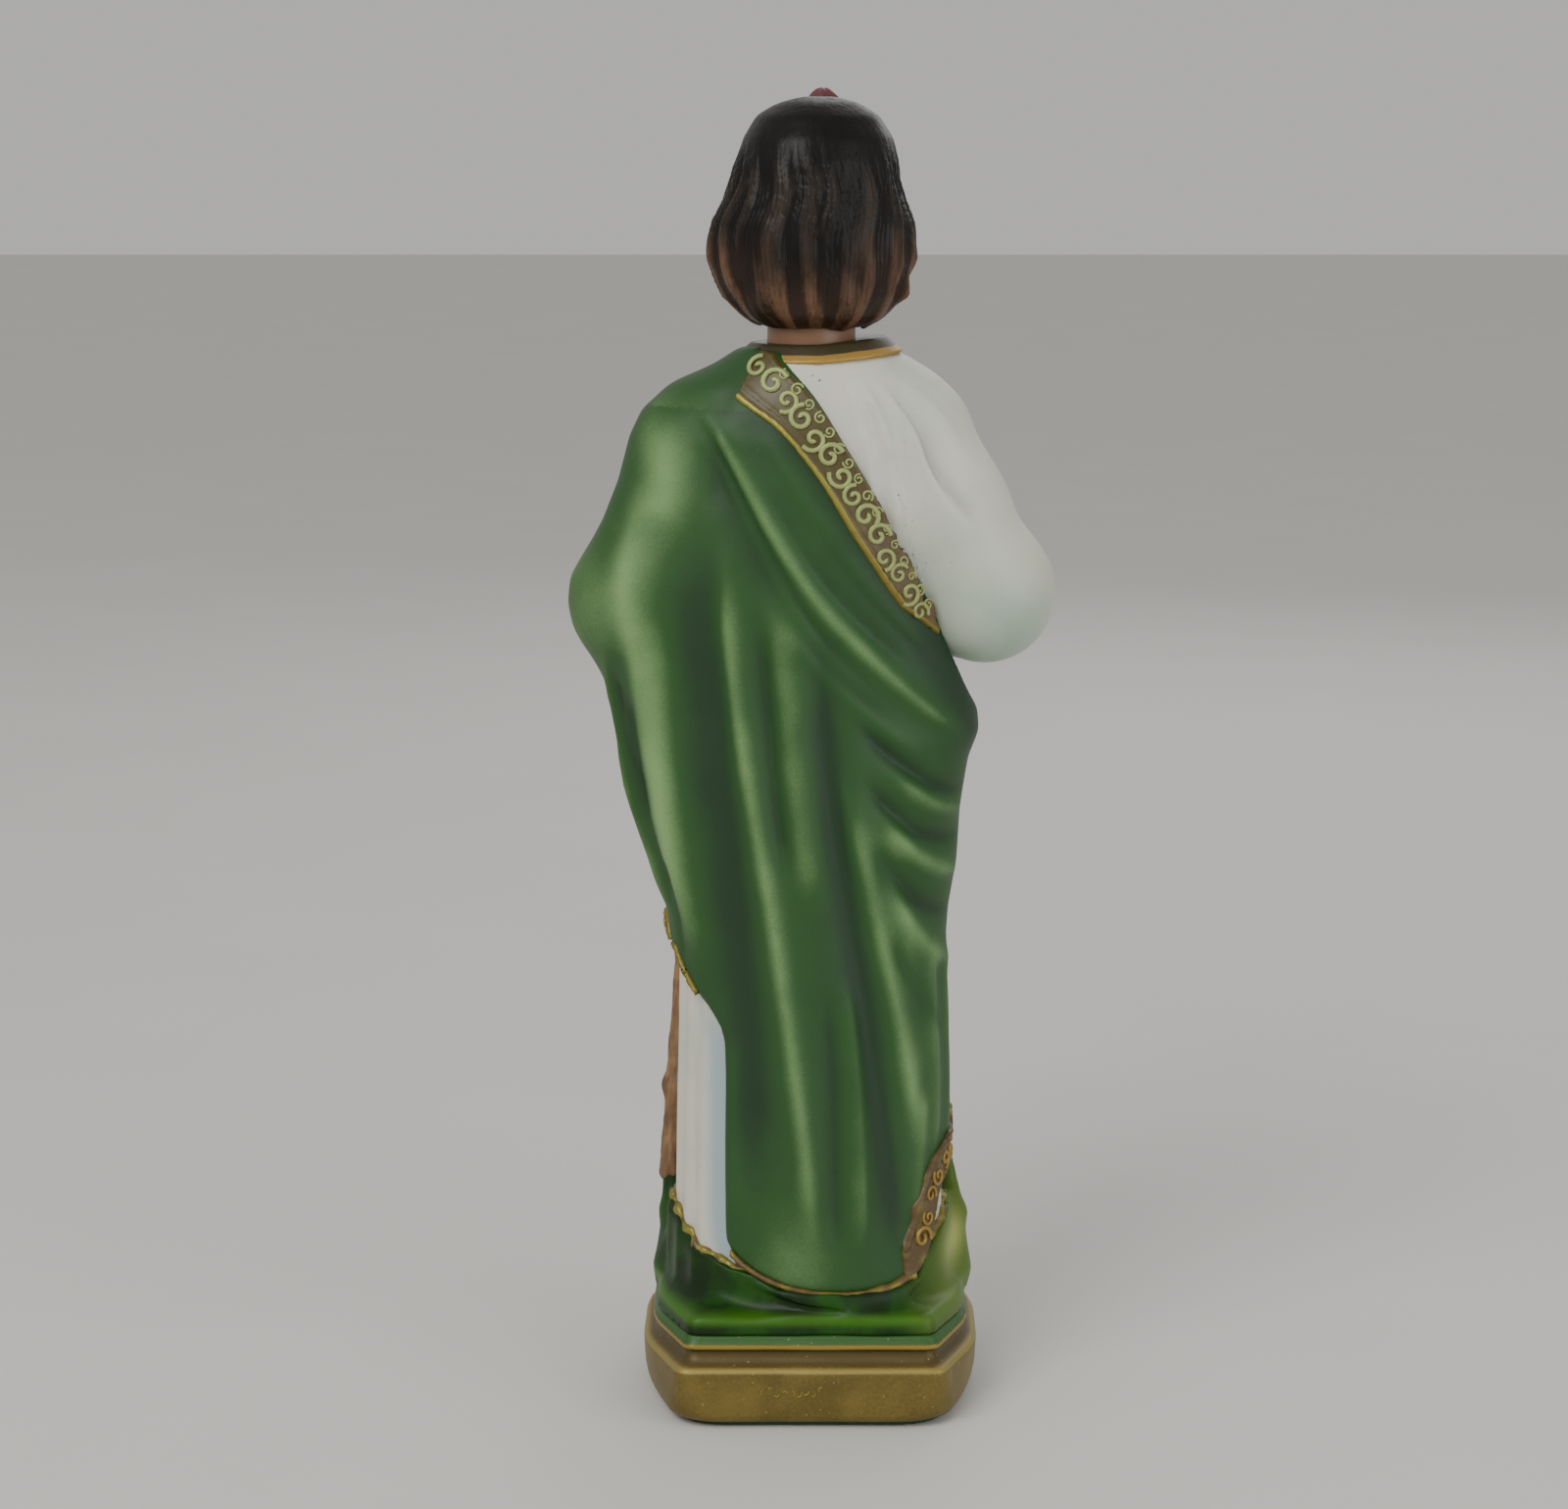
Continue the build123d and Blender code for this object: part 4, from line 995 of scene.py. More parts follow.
gilt = gilt_paint("gilt", (160, 150, 66), (76, 66, 26))
pale_gilt = gilt_paint("pale_gilt", (156, 166, 102), (92, 98, 46), 0.25)
old_gilt = gilt_paint("old_gilt", (168, 138, 66), (88, 66, 34), 0.5)


def stands_out(spots, height, back=1.0):
    """What the gilt paint needs at each vertex."""
    return {"stands": np.clip(height, 0, 1), "back": np.full(len(spots), back)}


# %% [markdown]
# The borders follow the mantle's edges as a shell, proud of the cloth. Their width, bead lines and ragged
# edge are drawn on the unrolled map. Each has a plain bright margin next to the cloth, and curls of its own
# further out.

# %% Border bands
BORDER_PROUD = 0.4
SIDE_LIFT = 0.6  # the side border's share of that
BORDER_STEP = 0.45


def bead(distance, at, width):
    return np.exp(-(((distance - at) / width) ** 2))


def border_back(p):
    """Width of the back border at a point, and how far it is drawn back from the mantle's edge."""
    low = np.clip((NECKLINE - 26 - p[:, 2]) / 20, 0, 1)
    ragged = np.maximum(ripple(p, 2.6, 11) + 0.35 * ripple(p, 1.5, 12),
                        -0.5) * np.clip((NECKLINE - 22 - p[:, 2]) / 8, 0, 1)
    high = np.clip((p[:, 2] - NECKLINE + 20) / 12, 0, 1)
    end = 5.5 * np.clip((NECKLINE - 38 - p[:, 2]) / 9, 0, 1)
    return 6.4 + 0.5 * high - 1.9 * low - end, 0.35 + 0.5 * low + 0.55 * ragged + 0.5 * end


def border_lower(p):
    ragged = 0.35 * ripple(p, 3.4, 13)
    return 5.6 + ragged, 0.2 + 0 * ragged


def border_front(p):
    """The front border tapers to nothing where it runs in under the right elbow."""
    turn = turn_of(p)
    taper = np.where(turn > 0, np.clip((turn - 97) / 18, 0.1, 1), 1)
    return (5.4 + 0.35 * ripple(p, 3.4, 13)) * taper, 0.2 + 0 * taper


def border_side(p):
    """A border at the figure's left that thins to a line where it comes round to the back."""
    back = np.clip((turn_of(p) + 90) / 8, 0, 1)
    return 4.8 - 4.0 * back, 0.1 + 0 * back


shell_edges = {
    "mantle_border_back": (over_edge, -1, border_back, lambda t: (t > -45) & (t < 84)),
    "mantle_border_front": (over_edge, -1, border_front, lambda t: (t <= -126) | (t >= 98)),
    "mantle_border_side": (under_edge, 1, border_side, lambda t: (t > -108) & (t < -58)),
    "mantle_border_lower": (under_edge, 1, border_lower, lambda t: (t <= -108) | (t >= 44)),
}


def band_profile(p, way, edge, measure):
    """Distance from the mantle's edge, the band's two edges, and how high its lines stand."""
    inside = way * edge.at(p)
    wide, start = measure(p)
    height = 0.4 * bead(inside, wide - 0.6, 0.32) + 0.2 * bead(inside, wide - 1.75, 0.25)
    height = height + 0.16 * bead(inside, start + 0.4, 0.35)
    return inside, wide, start, height


for name, (edge, way, measure, where) in shell_edges.items():
    lift = SIDE_LIFT if name == "mantle_border_side" else 1

    def border_field(p, edge=edge, way=way, measure=measure, where=where, lift=lift):
        inside, wide, start, height = band_profile(p, way, edge, measure)
        out = mantle_skin(p) - (BORDER_PROUD + height) * lift
        out = soft_max(out, inside - wide, 0.4)
        out = soft_max(out, start - inside, 0.4)
        out = soft_max(out, mantle_margin(p) - 0.2, 0.4)
        out = soft_max(out, -(mantle_skin(p) + 0.8), 0.3)
        mine = where(turn_of(p))
        return np.where(mine, np.maximum(out, -(white_cloth(p) + 0.3)), np.maximum(out, 0.4))
    spots, faces = cast(border_field, (-32, -32, GROUND - 3), (43, 25, NECKLINE + 5), BORDER_STEP)
    inside, wide, start, height = band_profile(spots, way, edge, measure)
    margin = np.clip((inside - wide + 1.05) / 0.4, 0, 1)
    if name == "mantle_border_lower":
        margin = margin * np.where(spots[:, 1] > 0, 0.3, 1)
    piece(name, spots, faces, gilt, stands_out(spots, 0.25 * height + 0.75 * margin))

# %% Collar and hems
GROUND_CLIMB = [
    # turn, height
    (-180, GROUND), (-130, GROUND + 1), (-108, GROUND + 6), (-90, GROUND + 11.5), (-74, GROUND + 8),
                (-58, GROUND + 4.6),
    (-40, GROUND + 2.6), (-18, GROUND + 1.9), (0, GROUND + 1.3), (36, GROUND + 1.2), (50, GROUND + 2.2),
                (64, GROUND + 5),
    (80, GROUND + 8), (96, GROUND + 10), (112, GROUND + 5), (135, GROUND + 1), (180, GROUND),
]
COLLAR_MIDDLE = (corners("collar")[0] + corners("collar")[1]) / 2


def collar_field(p):
    q = p - COLLAR_MIDDLE
    x = (q[:, 0] + 0.9) / 1.18
    tip = q[:, 2] + 0.9 + 0.05 * q[:, 0] - 0.05 * np.abs(x)
    out = np.hypot(x, q[:, 1])
    slant = out - 8.6 + 0.85 * tip
    wide = np.maximum(slant - 1.0, 6.0 - np.hypot(p[:, 0], p[:, 1] - 0.6))
    band = np.hypot(np.maximum(wide, 0), np.maximum(np.abs(tip) - 1.0, 0)) - 0.35
    line = np.hypot(out - 10.2, tip + 1.25) - 0.27
    return 0.75 * soft_min(band, line, 0.3)


spots, faces = cast(collar_field, *around(COLLAR_MIDDLE, (16, 13, 5)), 0.35)
collar_paint = gilt_paint("collar_gilt", (166, 132, 62), (56, 48, 26), 0.35)
out = np.hypot((spots[:, 0] - COLLAR_MIDDLE[0] + 0.9) / 1.18, spots[:, 1] - COLLAR_MIDDLE[1])
piece("collar", spots, faces, collar_paint, stands_out(spots, (out - 9.95) / 0.3, 0))


def ground_line(p):
    """The height that the ground climbs to against the cloth, higher at the figure's sides."""
    turn = turn_of(p)
    return np.interp(turn, *zip(*GROUND_CLIMB))


def mantle_hem_field(p):
    inside = under_edge.at(p)
    share = np.clip((-p[:, 0] - 6) / 8, 0.1, 1)
    bar = np.hypot(mantle_skin(p) - 0.1,
                   inside - 0.35) - (0.42 + 0.3 * share + 0.3 * ripple(p, 3.4, 21) * share)
    turn = turn_of(p)
    mine = (turn > -38) & (turn < 50)
    return np.where(mine, np.maximum(bar, -(white_cloth(p) + 0.1)), np.maximum(bar, 0.4))


HEM_STEP = 0.42
cast_piece("mantle_hem", mantle_hem_field, (-24, -4, GROUND - 3), (22, 24, GROUND + 14), HEM_STEP, gilt,
           lambda spots: stands_out(spots, 0.55 + 0.3 * ripple(spots, 2.5, 4)))


def tunic_hem_field(p):
    level = ground_line(p) + 1.2 + 0.3 * ripple(p * [1, 1, 0], 9, 8)
    lumps = 0.3 * ripple(p, 3.4, 9)
    bar = np.hypot(white_cloth(p) - 0.1, 0.62 * (p[:, 2] - level)) - (0.7 + lumps)
    return np.maximum(bar, -np.maximum(mantle_skin(p) - 0.2, mantle_margin(p) - 0.3))


cast_piece("tunic_hem", tunic_hem_field, (-25, -24, GROUND - 1), (25, 22, GROUND + 16), HEM_STEP, gilt,
           lambda spots: stands_out(spots, 0.6 + 0.3 * ripple(spots, 2.5, 14), 0.6))

# %% [markdown]
# ## Head and hair
#
# The head is leaned a little to the figure's right. The face is plain and calm, built from rounded lumps and
# hollows in schoolbook proportions: eyes half-way down, nose half-way from there to the chin, mouth a third
# of the rest.

# %% The head's own frame
HEAD_LEAN = 3.0  # degrees
PIVOT_RISE = 2
HEAD_PIVOT = np.array([0.0, 0.6, CHIN + PIVOT_RISE])
FACE = CROWN - CHIN


def upright(p):
    """Points moved into the upright head: x to its left, y backwards, and z up from the chin."""
    angle = math.radians(HEAD_LEAN)
    q = p - HEAD_PIVOT
    x = q[:, 0] * math.cos(angle) + q[:, 2] * math.sin(angle)
    z = q[:, 2] * math.cos(angle) - q[:, 0] * math.sin(angle)
    return np.stack([x, q[:, 1] + HEAD_PIVOT[1], z + PIVOT_RISE], axis=1)


# %% Head field
EYE_LEVEL = 0.49 * FACE
EYE_OUT = 3.75
NOSE_BASE = 0.27 * FACE
MOUTH = 0.17 * FACE
FACE_FRONT = -11.2
EYE_DEEP = 2.9
EYE_RADII = (1.85, 1.85, 1.75)


def eye_of(q):
    """Points of the upright head with both eyes folded onto one."""
    return np.stack([np.abs(q[:, 0]) - EYE_OUT, q[:, 1], q[:, 2] - EYE_LEVEL], axis=1)


def head_field(p):
    q = upright(p)
    neck = limb(p, [((0, 0.6, NECKLINE - 1.5), 6.9), ((0, 0.4, CHIN + 4), 6.5)])
    skull = ball(q, (0, 0.6, 0.64 * FACE), (9.3, 11.4, 0.37 * FACE))
    cheeks = ball(q, (0, -3.4, 0.36 * FACE), (7.7, 7.2, 8.6))
    jaw = ball(q, (0, -4.6, 0.17 * FACE), (5.2, 5.6, 5.0))
    chin = ball(q, (0, -8.3, 0.06 * FACE), (2.3, 2.2, 1.8))
    head = soft_min(soft_min(skull, cheeks, 3.5), soft_min(jaw, chin, 2.0), 3.0)
    folded = np.stack([np.abs(q[:, 0]), q[:, 1], q[:, 2]], axis=1)
    bones = ball(folded, (4.9, -6.6, 0.37 * FACE), (2.6, 2.6, 2.2))
    head = soft_min(head, bones, 2.5)
    sockets = ball(folded, (EYE_OUT, FACE_FRONT + 0.5, EYE_LEVEL + 0.4), (2.5, 1.9, 1.7))
    head = soft_max(head, -sockets, 1.6)
    brow = limb(folded, [((1.3, FACE_FRONT + 2.2, EYE_LEVEL + 2.5), 1.2),
                         ((4.0, FACE_FRONT + 2.9, EYE_LEVEL + 3.2), 1.2),
                         ((6.4, FACE_FRONT + 5.0, EYE_LEVEL + 2.2), 0.9)], blend=0.8)
    head = soft_min(head, brow, 1.6)
    nose = limb(q, [((0, FACE_FRONT + 1.3, EYE_LEVEL + 1.2), 1.0),
                    ((0, FACE_FRONT - 0.7, NOSE_BASE + 1.6), 1.25)])
    wings = ball(folded, (1.25, FACE_FRONT + 0.3, NOSE_BASE + 0.9), (0.85, 1.1, 0.85))
    head = soft_min(head, soft_min(nose, wings, 0.7), 1.1)
    nostrils = ball(folded, (0.75, FACE_FRONT - 0.3, NOSE_BASE + 0.1), (0.35, 0.6, 0.35))
    head = soft_max(head, -nostrils, 0.4)
    mound = ball(q, (0, FACE_FRONT + 3.0, MOUTH), (3.6, 2.8, 2.6))
    head = soft_min(head, mound, 1.6)
    bow = 0.22 * np.cos(np.clip(q[:, 0] * 1.9, -3.1, 3.1))
    lips = np.stack([q[:, 0], q[:, 1], q[:, 2] - MOUTH], axis=1)
    upper = ball(lips, (0, FACE_FRONT + 0.9, 0.55), (2.7, 1.1, 0.75)) + bow * 0.3
    lower = ball(lips, (0, FACE_FRONT + 0.8, -0.6), (2.1, 1.2, 0.85))
    head = soft_min(head, np.minimum(upper, lower), 0.5)
    slit = ball(lips, (0, FACE_FRONT - 0.2, 0.02), (2.6, 0.8, 0.2))
    head = soft_max(head, -slit, 0.35)
    e = eye_of(q)
    eye = ball(e, (0, FACE_FRONT + EYE_DEEP, 0), EYE_RADII)
    open_part = ball(e, (0, FACE_FRONT + 1.2, -0.1), (1.45, 2.2, 0.62))
    lids = soft_max(ball(e, (0, FACE_FRONT + EYE_DEEP, 0), (2.15, 2.2, 2.05)), -open_part, 0.3)
    head = soft_min(head, lids, 0.6)
    head = np.minimum(head, eye)
    body = soft_min(head, neck, 2.6)
    return 0.85 * soft_max(body, NECKLINE - 3 - p[:, 2], 0.5)


def skin_paint():
    paint = Paint("skin_paint")
    cloud = paint.noise(5, detail=3)
    colour = paint.mix(cloud.rise(0.3, 0.7), tint(206, 158, 120), tint(222, 176, 138))
    colour = paint.mix(paint.kept("shade"), colour, tint(118, 82, 52))
    colour = paint.mix(paint.kept("blush"), colour, tint(204, 124, 104))
    colour = paint.mix(paint.kept("white"), colour, tint(228, 224, 214))
    colour = paint.mix(paint.kept("dark"), colour, tint(52, 38, 30))
    return paint.finish(colour, 0.42, bump=paint.noise(1.2), bump_depth=0.02, coat=0.2, coat_rough=0.3)


def skin_marks(spots, shade, blush=0.0, white=0.0, dark=0.0):
    zero = np.zeros(len(spots))
    return {"shade": zero + shade, "blush": zero + blush, "white": zero + white, "dark": zero + dark}


skin = skin_paint()
spots, faces = cast(head_field, (-12, -15, NECKLINE - 4), (12, 14, CROWN + 2), 0.34)
q = upright(spots)
e = eye_of(q)
front = q[:, 1] < FACE_FRONT + 4.5
in_eye = front & (np.abs(ball(e, (0, FACE_FRONT + EYE_DEEP, 0), EYE_RADII)) < 0.12)
iris = in_eye & (np.hypot(e[:, 0], e[:, 2] + 0.05) < 0.66)
brow_line = front & (np.abs(e[:, 2] - 3.0 + 0.09 * e[:, 0] ** 2) < 0.3) & (np.abs(e[:, 0] + 0.1) < 2.6)
lash = front & (np.abs(e[:, 2] - 0.75 + 0.16 * e[:, 0] ** 2) < 0.14) & (np.abs(e[:, 0]) < 1.6)
mouth_row = front & (np.abs(q[:, 0]) < 2.5)
lips = mouth_row & (np.abs(q[:, 2] - MOUTH) < 1.15 - 0.11 * q[:, 0] ** 2) & (q[:, 1] < FACE_FRONT + 1.6)
slit_line = mouth_row & (np.abs(q[:, 2] - MOUTH) < 0.12) & (q[:, 1] < FACE_FRONT + 1.6)
rosy = np.exp(-((np.abs(q[:, 0]) - 5.0) ** 2 + (q[:, 2] - 0.33 * FACE) ** 2) / 5.0) * front
neck_shade = np.clip((CHIN + 4 - spots[:, 2]) / 6, 0, 1) * np.clip((spots[:, 1] + 6) / 8, 0, 1)
piece("head", spots, faces, skin,
      skin_marks(spots, 0.9 * neck_shade, np.maximum(0.45 * rosy, 0.8 * lips), in_eye * 1.0,
                 np.maximum.reduce([iris * 1.0, brow_line * 0.8, lash * 0.85, slit_line * 0.7])))

# %% [markdown]
# The hair is a smooth cap that breaks into vertical locks below the crown, flares at the jaw and tucks under.
# Its ends are uneven. It opens round the face.

# %% Hair
HAIR = Ovals([
    (CHIN - 3.8, 8.4, 9.2, 9.0, 3.4),
    (CHIN - 1.6, 11.0, 12.0, 11.6, 5.2),
    (CHIN + 1.0, 13.4, 14.0, 13.2, 7.2),
    (CHIN + 3.5, 14.9, 15.0, 14.0, 8.8),
    (CHIN + 6.4, 15.8, 16.0, 14.8, 10.0),
    (CHIN + 9.6, 15.7, 15.8, 15.1, 10.8),
    (CHIN + 12.4, 15.2, 15.4, 15.0, 11.4),
    (CHIN + 15.0, 13.8, 14.3, 14.7, 12.0),
    (CHIN + 18.0, 12.3, 13.3, 14.3, 12.6),
    (CHIN + 21.4, 11.4, 13.0, 13.6, 12.8),
    (CHIN + 25.0, 10.3, 12.2, 12.2, 12.0),
    (CHIN + 28.2, 8.2, 10.3, 9.8, 10.0),
    (CHIN + 30.2, 5.0, 7.2, 6.6, 6.6),
    (CHIN + 31.6, 0.8, 2.4, 2.0, 2.0),
], soften=1.0)
HAIR_TOP = corners("hair")[1][2]


LOCK_WAVES = [
    # waves round the head, share, and a shift of phase
    (13, 1.0, 0.4), (19, 0.8, 2.1), (27, 0.6, 4.0), (41, 0.35, 1.2), (7, 0.5, 3.3),
]


def locks(p):
    """How far strands stand out, about -1 to 1, first broad ones, then fine ones."""
    z = p[:, 2] - CHIN
    turn = np.radians(turn_of(p)) + 0.035 * np.sin(z / 4.2) + 0.02 * np.sin(z / 1.9 + 2)
    broad = 0
    for count, share, phase in LOCK_WAVES:
        bend = 0.7 * np.sin(z / 7.5 + 2.3 * phase)
        broad = broad + share * np.sin(count * turn + phase + bend)
    fine = np.sin(67 * turn + 2 * np.sin(z / 3)) * np.sin(53 * turn + 1)
    return np.tanh(broad / 1.1), fine


def hair_field(p):
    broad, fine = locks(p)
    z = p[:, 2] - CHIN
    low = np.clip((27 - z) / 9, 0, 1)
    low = low * low * (3 - 2 * low)
    tucked = np.clip((z + 5) / 6, 0.2, 1)
    ends = np.clip((9 - z) / 6, 0, 1)
    curls = ripple(p * [1, 1, 0.75], 5.2, 33)
    relief = tucked * (low * (0.26 * broad + 0.2 * fine) + ends * (0.1 * broad + 0.7 * curls))
    shell = HAIR.field(p) - relief - 0.15 * ripple(p, 9, 31)
    ragged_foot = CHIN - 4.0 - 0.05 * broad - 0.5 * ripple(p, 7, 32)
    shell = soft_max(shell, ragged_foot - p[:, 2], 3.0)
    crown = soft_max(shell, p[:, 2] - HAIR_TOP, 2.0)
    q = upright(p)
    face = ball(q, (0, -12.5, 0.36 * FACE), (8.6, 11.5, 0.47 * FACE))
    part = ball(q, (0, -13.0, 0.80 * FACE), (1.1, 6, 2.6))
    under = ball(p, (0, 0.0, CHIN - 3), (7.4, 7.6, 9))
    crown = soft_max(crown, -soft_min(face, part, 2.0), 1.2)
    return 0.8 * soft_max(crown, -under, 1.0)


def hair_paint():
    paint = Paint("hair_paint")
    warm = paint.kept("warm")
    streak = paint.noise(0.8, detail=3, stretch=(1, 1, 0.14))
    lock_highlight = paint.kept("lock_highlight")
    base = paint.mix(warm, tint(14, 10, 7), tint(46, 31, 22))
    light = paint.mix(warm, tint(52, 42, 34), tint(118, 86, 64))
    # The raised locks low on the hair are painted lighter, a painted highlight on them; the streak noise adds
    # brush streaks to the same mix.
    colour = paint.mix((lock_highlight * 0.7 + streak * 0.6).rise(0.5, 1.15) * 0.85, base, light)
    return paint.finish(colour, 0.26 + 0.3 * streak, bump=streak, bump_depth=0.1, shine=0.22)


spots, faces = cast(hair_field, (-18, -16, CHIN - 6), (18, 18, HAIR_TOP + 2), 0.36)
broad, fine = locks(spots)
low = np.clip((CHIN + 27 - spots[:, 2]) / 10, 0, 1)
outwards = np.clip((np.abs(spots[:, 0]) - 5) / 8, 0, 1) * np.clip((CHIN + 12 - spots[:, 2]) / 7, 0, 1)
piece("hair", spots, faces, hair_paint(),
      {"warm": np.maximum(outwards, 0.9 * np.clip((CHIN + 7 - spots[:, 2]) / 6, 0, 1)),
       # how far each lock stands out low on the hair, kept for the painted highlight on the raised locks
       "lock_highlight": low * np.clip(0.5 + 0.5 * broad + 0.2 * fine, 0, 1)})


# %% Flame
FLAME_LOW, FLAME_HIGH = corners("flame")
FLAME_AT = (FLAME_LOW + FLAME_HIGH) / 2
FLAME_TALL = FLAME_HIGH[2] - FLAME_LOW[2]


def flame_field(p):
    q = p - np.array([FLAME_AT[0], FLAME_AT[1], FLAME_LOW[2]])
    dome = ball(q, (0, 0, 2.4), (3.0, 2.7, FLAME_TALL - 2.6))
    tip = limb(q, [((0, -0.3, 2.6), 1.8), ((0.2, -0.2, FLAME_TALL - 1.7), 1.3)])
    tongues = 0.07 * np.cos(6 * np.arctan2(q[:, 1], q[:, 0]) + 0.8 * q[:, 2])
    return 0.85 * soft_max(soft_min(dome, tip, 1.0) - tongues, -q[:, 2] - 0.5, 0.5)


def flame_paint():
    paint = Paint("flame_paint")
    rise = (paint.height() - float(FLAME_LOW[2])).rise(2, FLAME_TALL)
    colour = paint.mix(rise, tint(70, 26, 30), tint(104, 44, 48))
    colour = paint.mix(paint.noise(1.2).rise(0.4, 0.7) * 0.5, colour, tint(60, 24, 28))
    return paint.finish(colour, 0.36, coat=0.2)


cast_piece("flame", flame_field, FLAME_LOW - 1, FLAME_HIGH + 1.2, 0.22, flame_paint())

# %% [markdown]
# ## Hands, feet and staff
#
# The right hand lies on the chest with its fingers together. The left closes round the staff, which leans
# back along the figure's side down to the rocks.

# %% Staff
STAFF_FOOT = np.array([22.6, -10.0, GROUND + 12.4])
STAFF_GRIP = np.array([16.4, -24.6, NECKLINE - 46.8])
STAFF_WAY = STAFF_GRIP - STAFF_FOOT
STAFF_REACH = 1.28  # the staff's length past its foot, as a share of the way to the grip
STAFF_RADIUS = 1.85
STAFF_TAPER = 0.35
KNOB_RADIUS = 2.5
LOW_KNOT = 14
KNOTS = (37, 55, 76, 96)


def staff_field(p):
    q = p - STAFF_FOOT
    length = np.linalg.norm(STAFF_WAY)
    along = q @ STAFF_WAY / length
    share = np.clip(along / length, 0, STAFF_REACH)
    gap = q - share[:, None] * STAFF_WAY
    turn = np.arctan2(gap[:, 1], gap[:, 0])
    knots = sum(0.3 * np.exp(-(((along - at) / 1.5) ** 2)) for at in KNOTS)
    knots = knots + 0.6 * np.exp(-(((along - LOW_KNOT) / 1.7) ** 2))
    bark = 0.1 * np.cos(7 * turn + 0.35 * along) + 0.06 * np.sin(3 * turn - 0.8 * along)
    radius = STAFF_RADIUS - STAFF_TAPER * share + knots + bark
    knob = np.linalg.norm(q - STAFF_REACH * STAFF_WAY, axis=1) - KNOB_RADIUS
    return 0.85 * soft_min(np.linalg.norm(gap, axis=1) - radius, knob - bark, 2.0)


def wood_paint():
    paint = Paint("staff_paint")
    grain = paint.noise(1.1, detail=4, stretch=(1, 1, 0.15))
    colour = paint.mix(grain.rise(0.3, 0.7), tint(104, 74, 44), tint(148, 114, 76))
    colour = paint.mix(paint.noise(4, detail=2).rise(0.45, 0.7) * 0.6, colour, tint(84, 60, 42))
    return paint.finish(colour, 0.5 + 0.1 * grain, bump=grain, bump_depth=0.08)


cast_piece("staff", staff_field, (6, -35, GROUND + 8), (27, -5, NECKLINE - 15), 0.5, wood_paint())


# %% Hands
def finger(p, points, thick):
    """One finger through its knuckles, thinner at the tip."""
    stations = [(point, thick * (1 - 0.1 * i)) for i, point in enumerate(points)]
    return limb(p, stations, blend=0.5)


RIGHT_KNUCKLES = np.array([-2.6, -20.4, NECKLINE - 22.6])
across_palm = np.array([0.45, 0.1, -0.9])
reach_out = np.array([12.6, 3.2, 7.6]) / 15.0
hand_back = np.cross(across_palm, reach_out)
hand_back /= np.linalg.norm(hand_back)


def right_hand_field(p):
    wrist = tuple(RIGHT_WRIST - 1.0 * right_way)
    palm = limb(p, [(wrist, 2.5), (tuple(RIGHT_KNUCKLES - 3.2 * reach_out + 1.4 * across_palm), 2.3),
                    (tuple(RIGHT_KNUCKLES - 1.4 * across_palm), 1.6)], blend=1.0)
    palm = soft_min(palm, limb(p, [(tuple(RIGHT_KNUCKLES - 2.9 * across_palm), 1.35),
                                   (tuple(RIGHT_KNUCKLES + 2.9 * across_palm), 1.35)]), 2.2)
    hand = palm
    for i, length in enumerate((6.0, 7.4, 7.8, 6.8)):
        root = RIGHT_KNUCKLES + (2.85 - 1.9 * i) * across_palm
        bend = 0.7 * hand_back * (1 if hand_back[1] < 0 else -1)
        tip = root + length * reach_out
        hand = soft_min(hand, finger(p, [tuple(root), tuple((root + tip) / 2 + bend), tuple(tip)], 1.12),
                        0.55)
    thumb_root = RIGHT_KNUCKLES - 6.4 * reach_out - 2.0 * across_palm
    thumb = [tuple(thumb_root), tuple(thumb_root + 3.0 * reach_out - 2.6 * across_palm),
             tuple(thumb_root + 6.4 * reach_out - 3.2 * across_palm)]
    hand = soft_min(hand, finger(p, thumb, 1.35), 1.0)
    return 0.9 * hand


def left_hand_field(p):
    way = STAFF_WAY / np.linalg.norm(STAFF_WAY)
    to_wrist = LEFT_WRIST - STAFF_GRIP
    out = to_wrist - (to_wrist @ way) * way
    out /= np.linalg.norm(out)
    side = np.cross(way, out)
    hand = limb(p, [(tuple(LEFT_WRIST + 0.8 * left_way * -1), 2.7), (tuple(STAFF_GRIP + 3.1 * out), 2.9)])
    for i in range(4):
        at = STAFF_GRIP + (3.0 - 2.05 * i) * way
        loop = [at + 3.0 * out + 1.0 * side, at + 0.9 * out + 3.0 * side, at - 2.0 * out + 2.2 * side,
                at - 2.8 * out - 0.5 * side]
        hand = soft_min(hand, finger(p, [tuple(point) for point in loop], 1.2), 0.6)
    at = STAFF_GRIP + 3.4 * way
    thumb = [at + 3.2 * out - 1.0 * side, at + 1.2 * out - 2.9 * side, at - 1.6 * out - 2.4 * side]
    return 0.9 * soft_min(hand, finger(p, [tuple(point) for point in thumb], 1.35), 0.9)


for name, field, centre in [
    ("right_hand", right_hand_field, RIGHT_KNUCKLES),
    ("left_hand", left_hand_field, STAFF_GRIP),
]:
    cast_piece(name, field, *around(centre, 15), 0.3, skin, lambda spots: skin_marks(spots, 0.15))


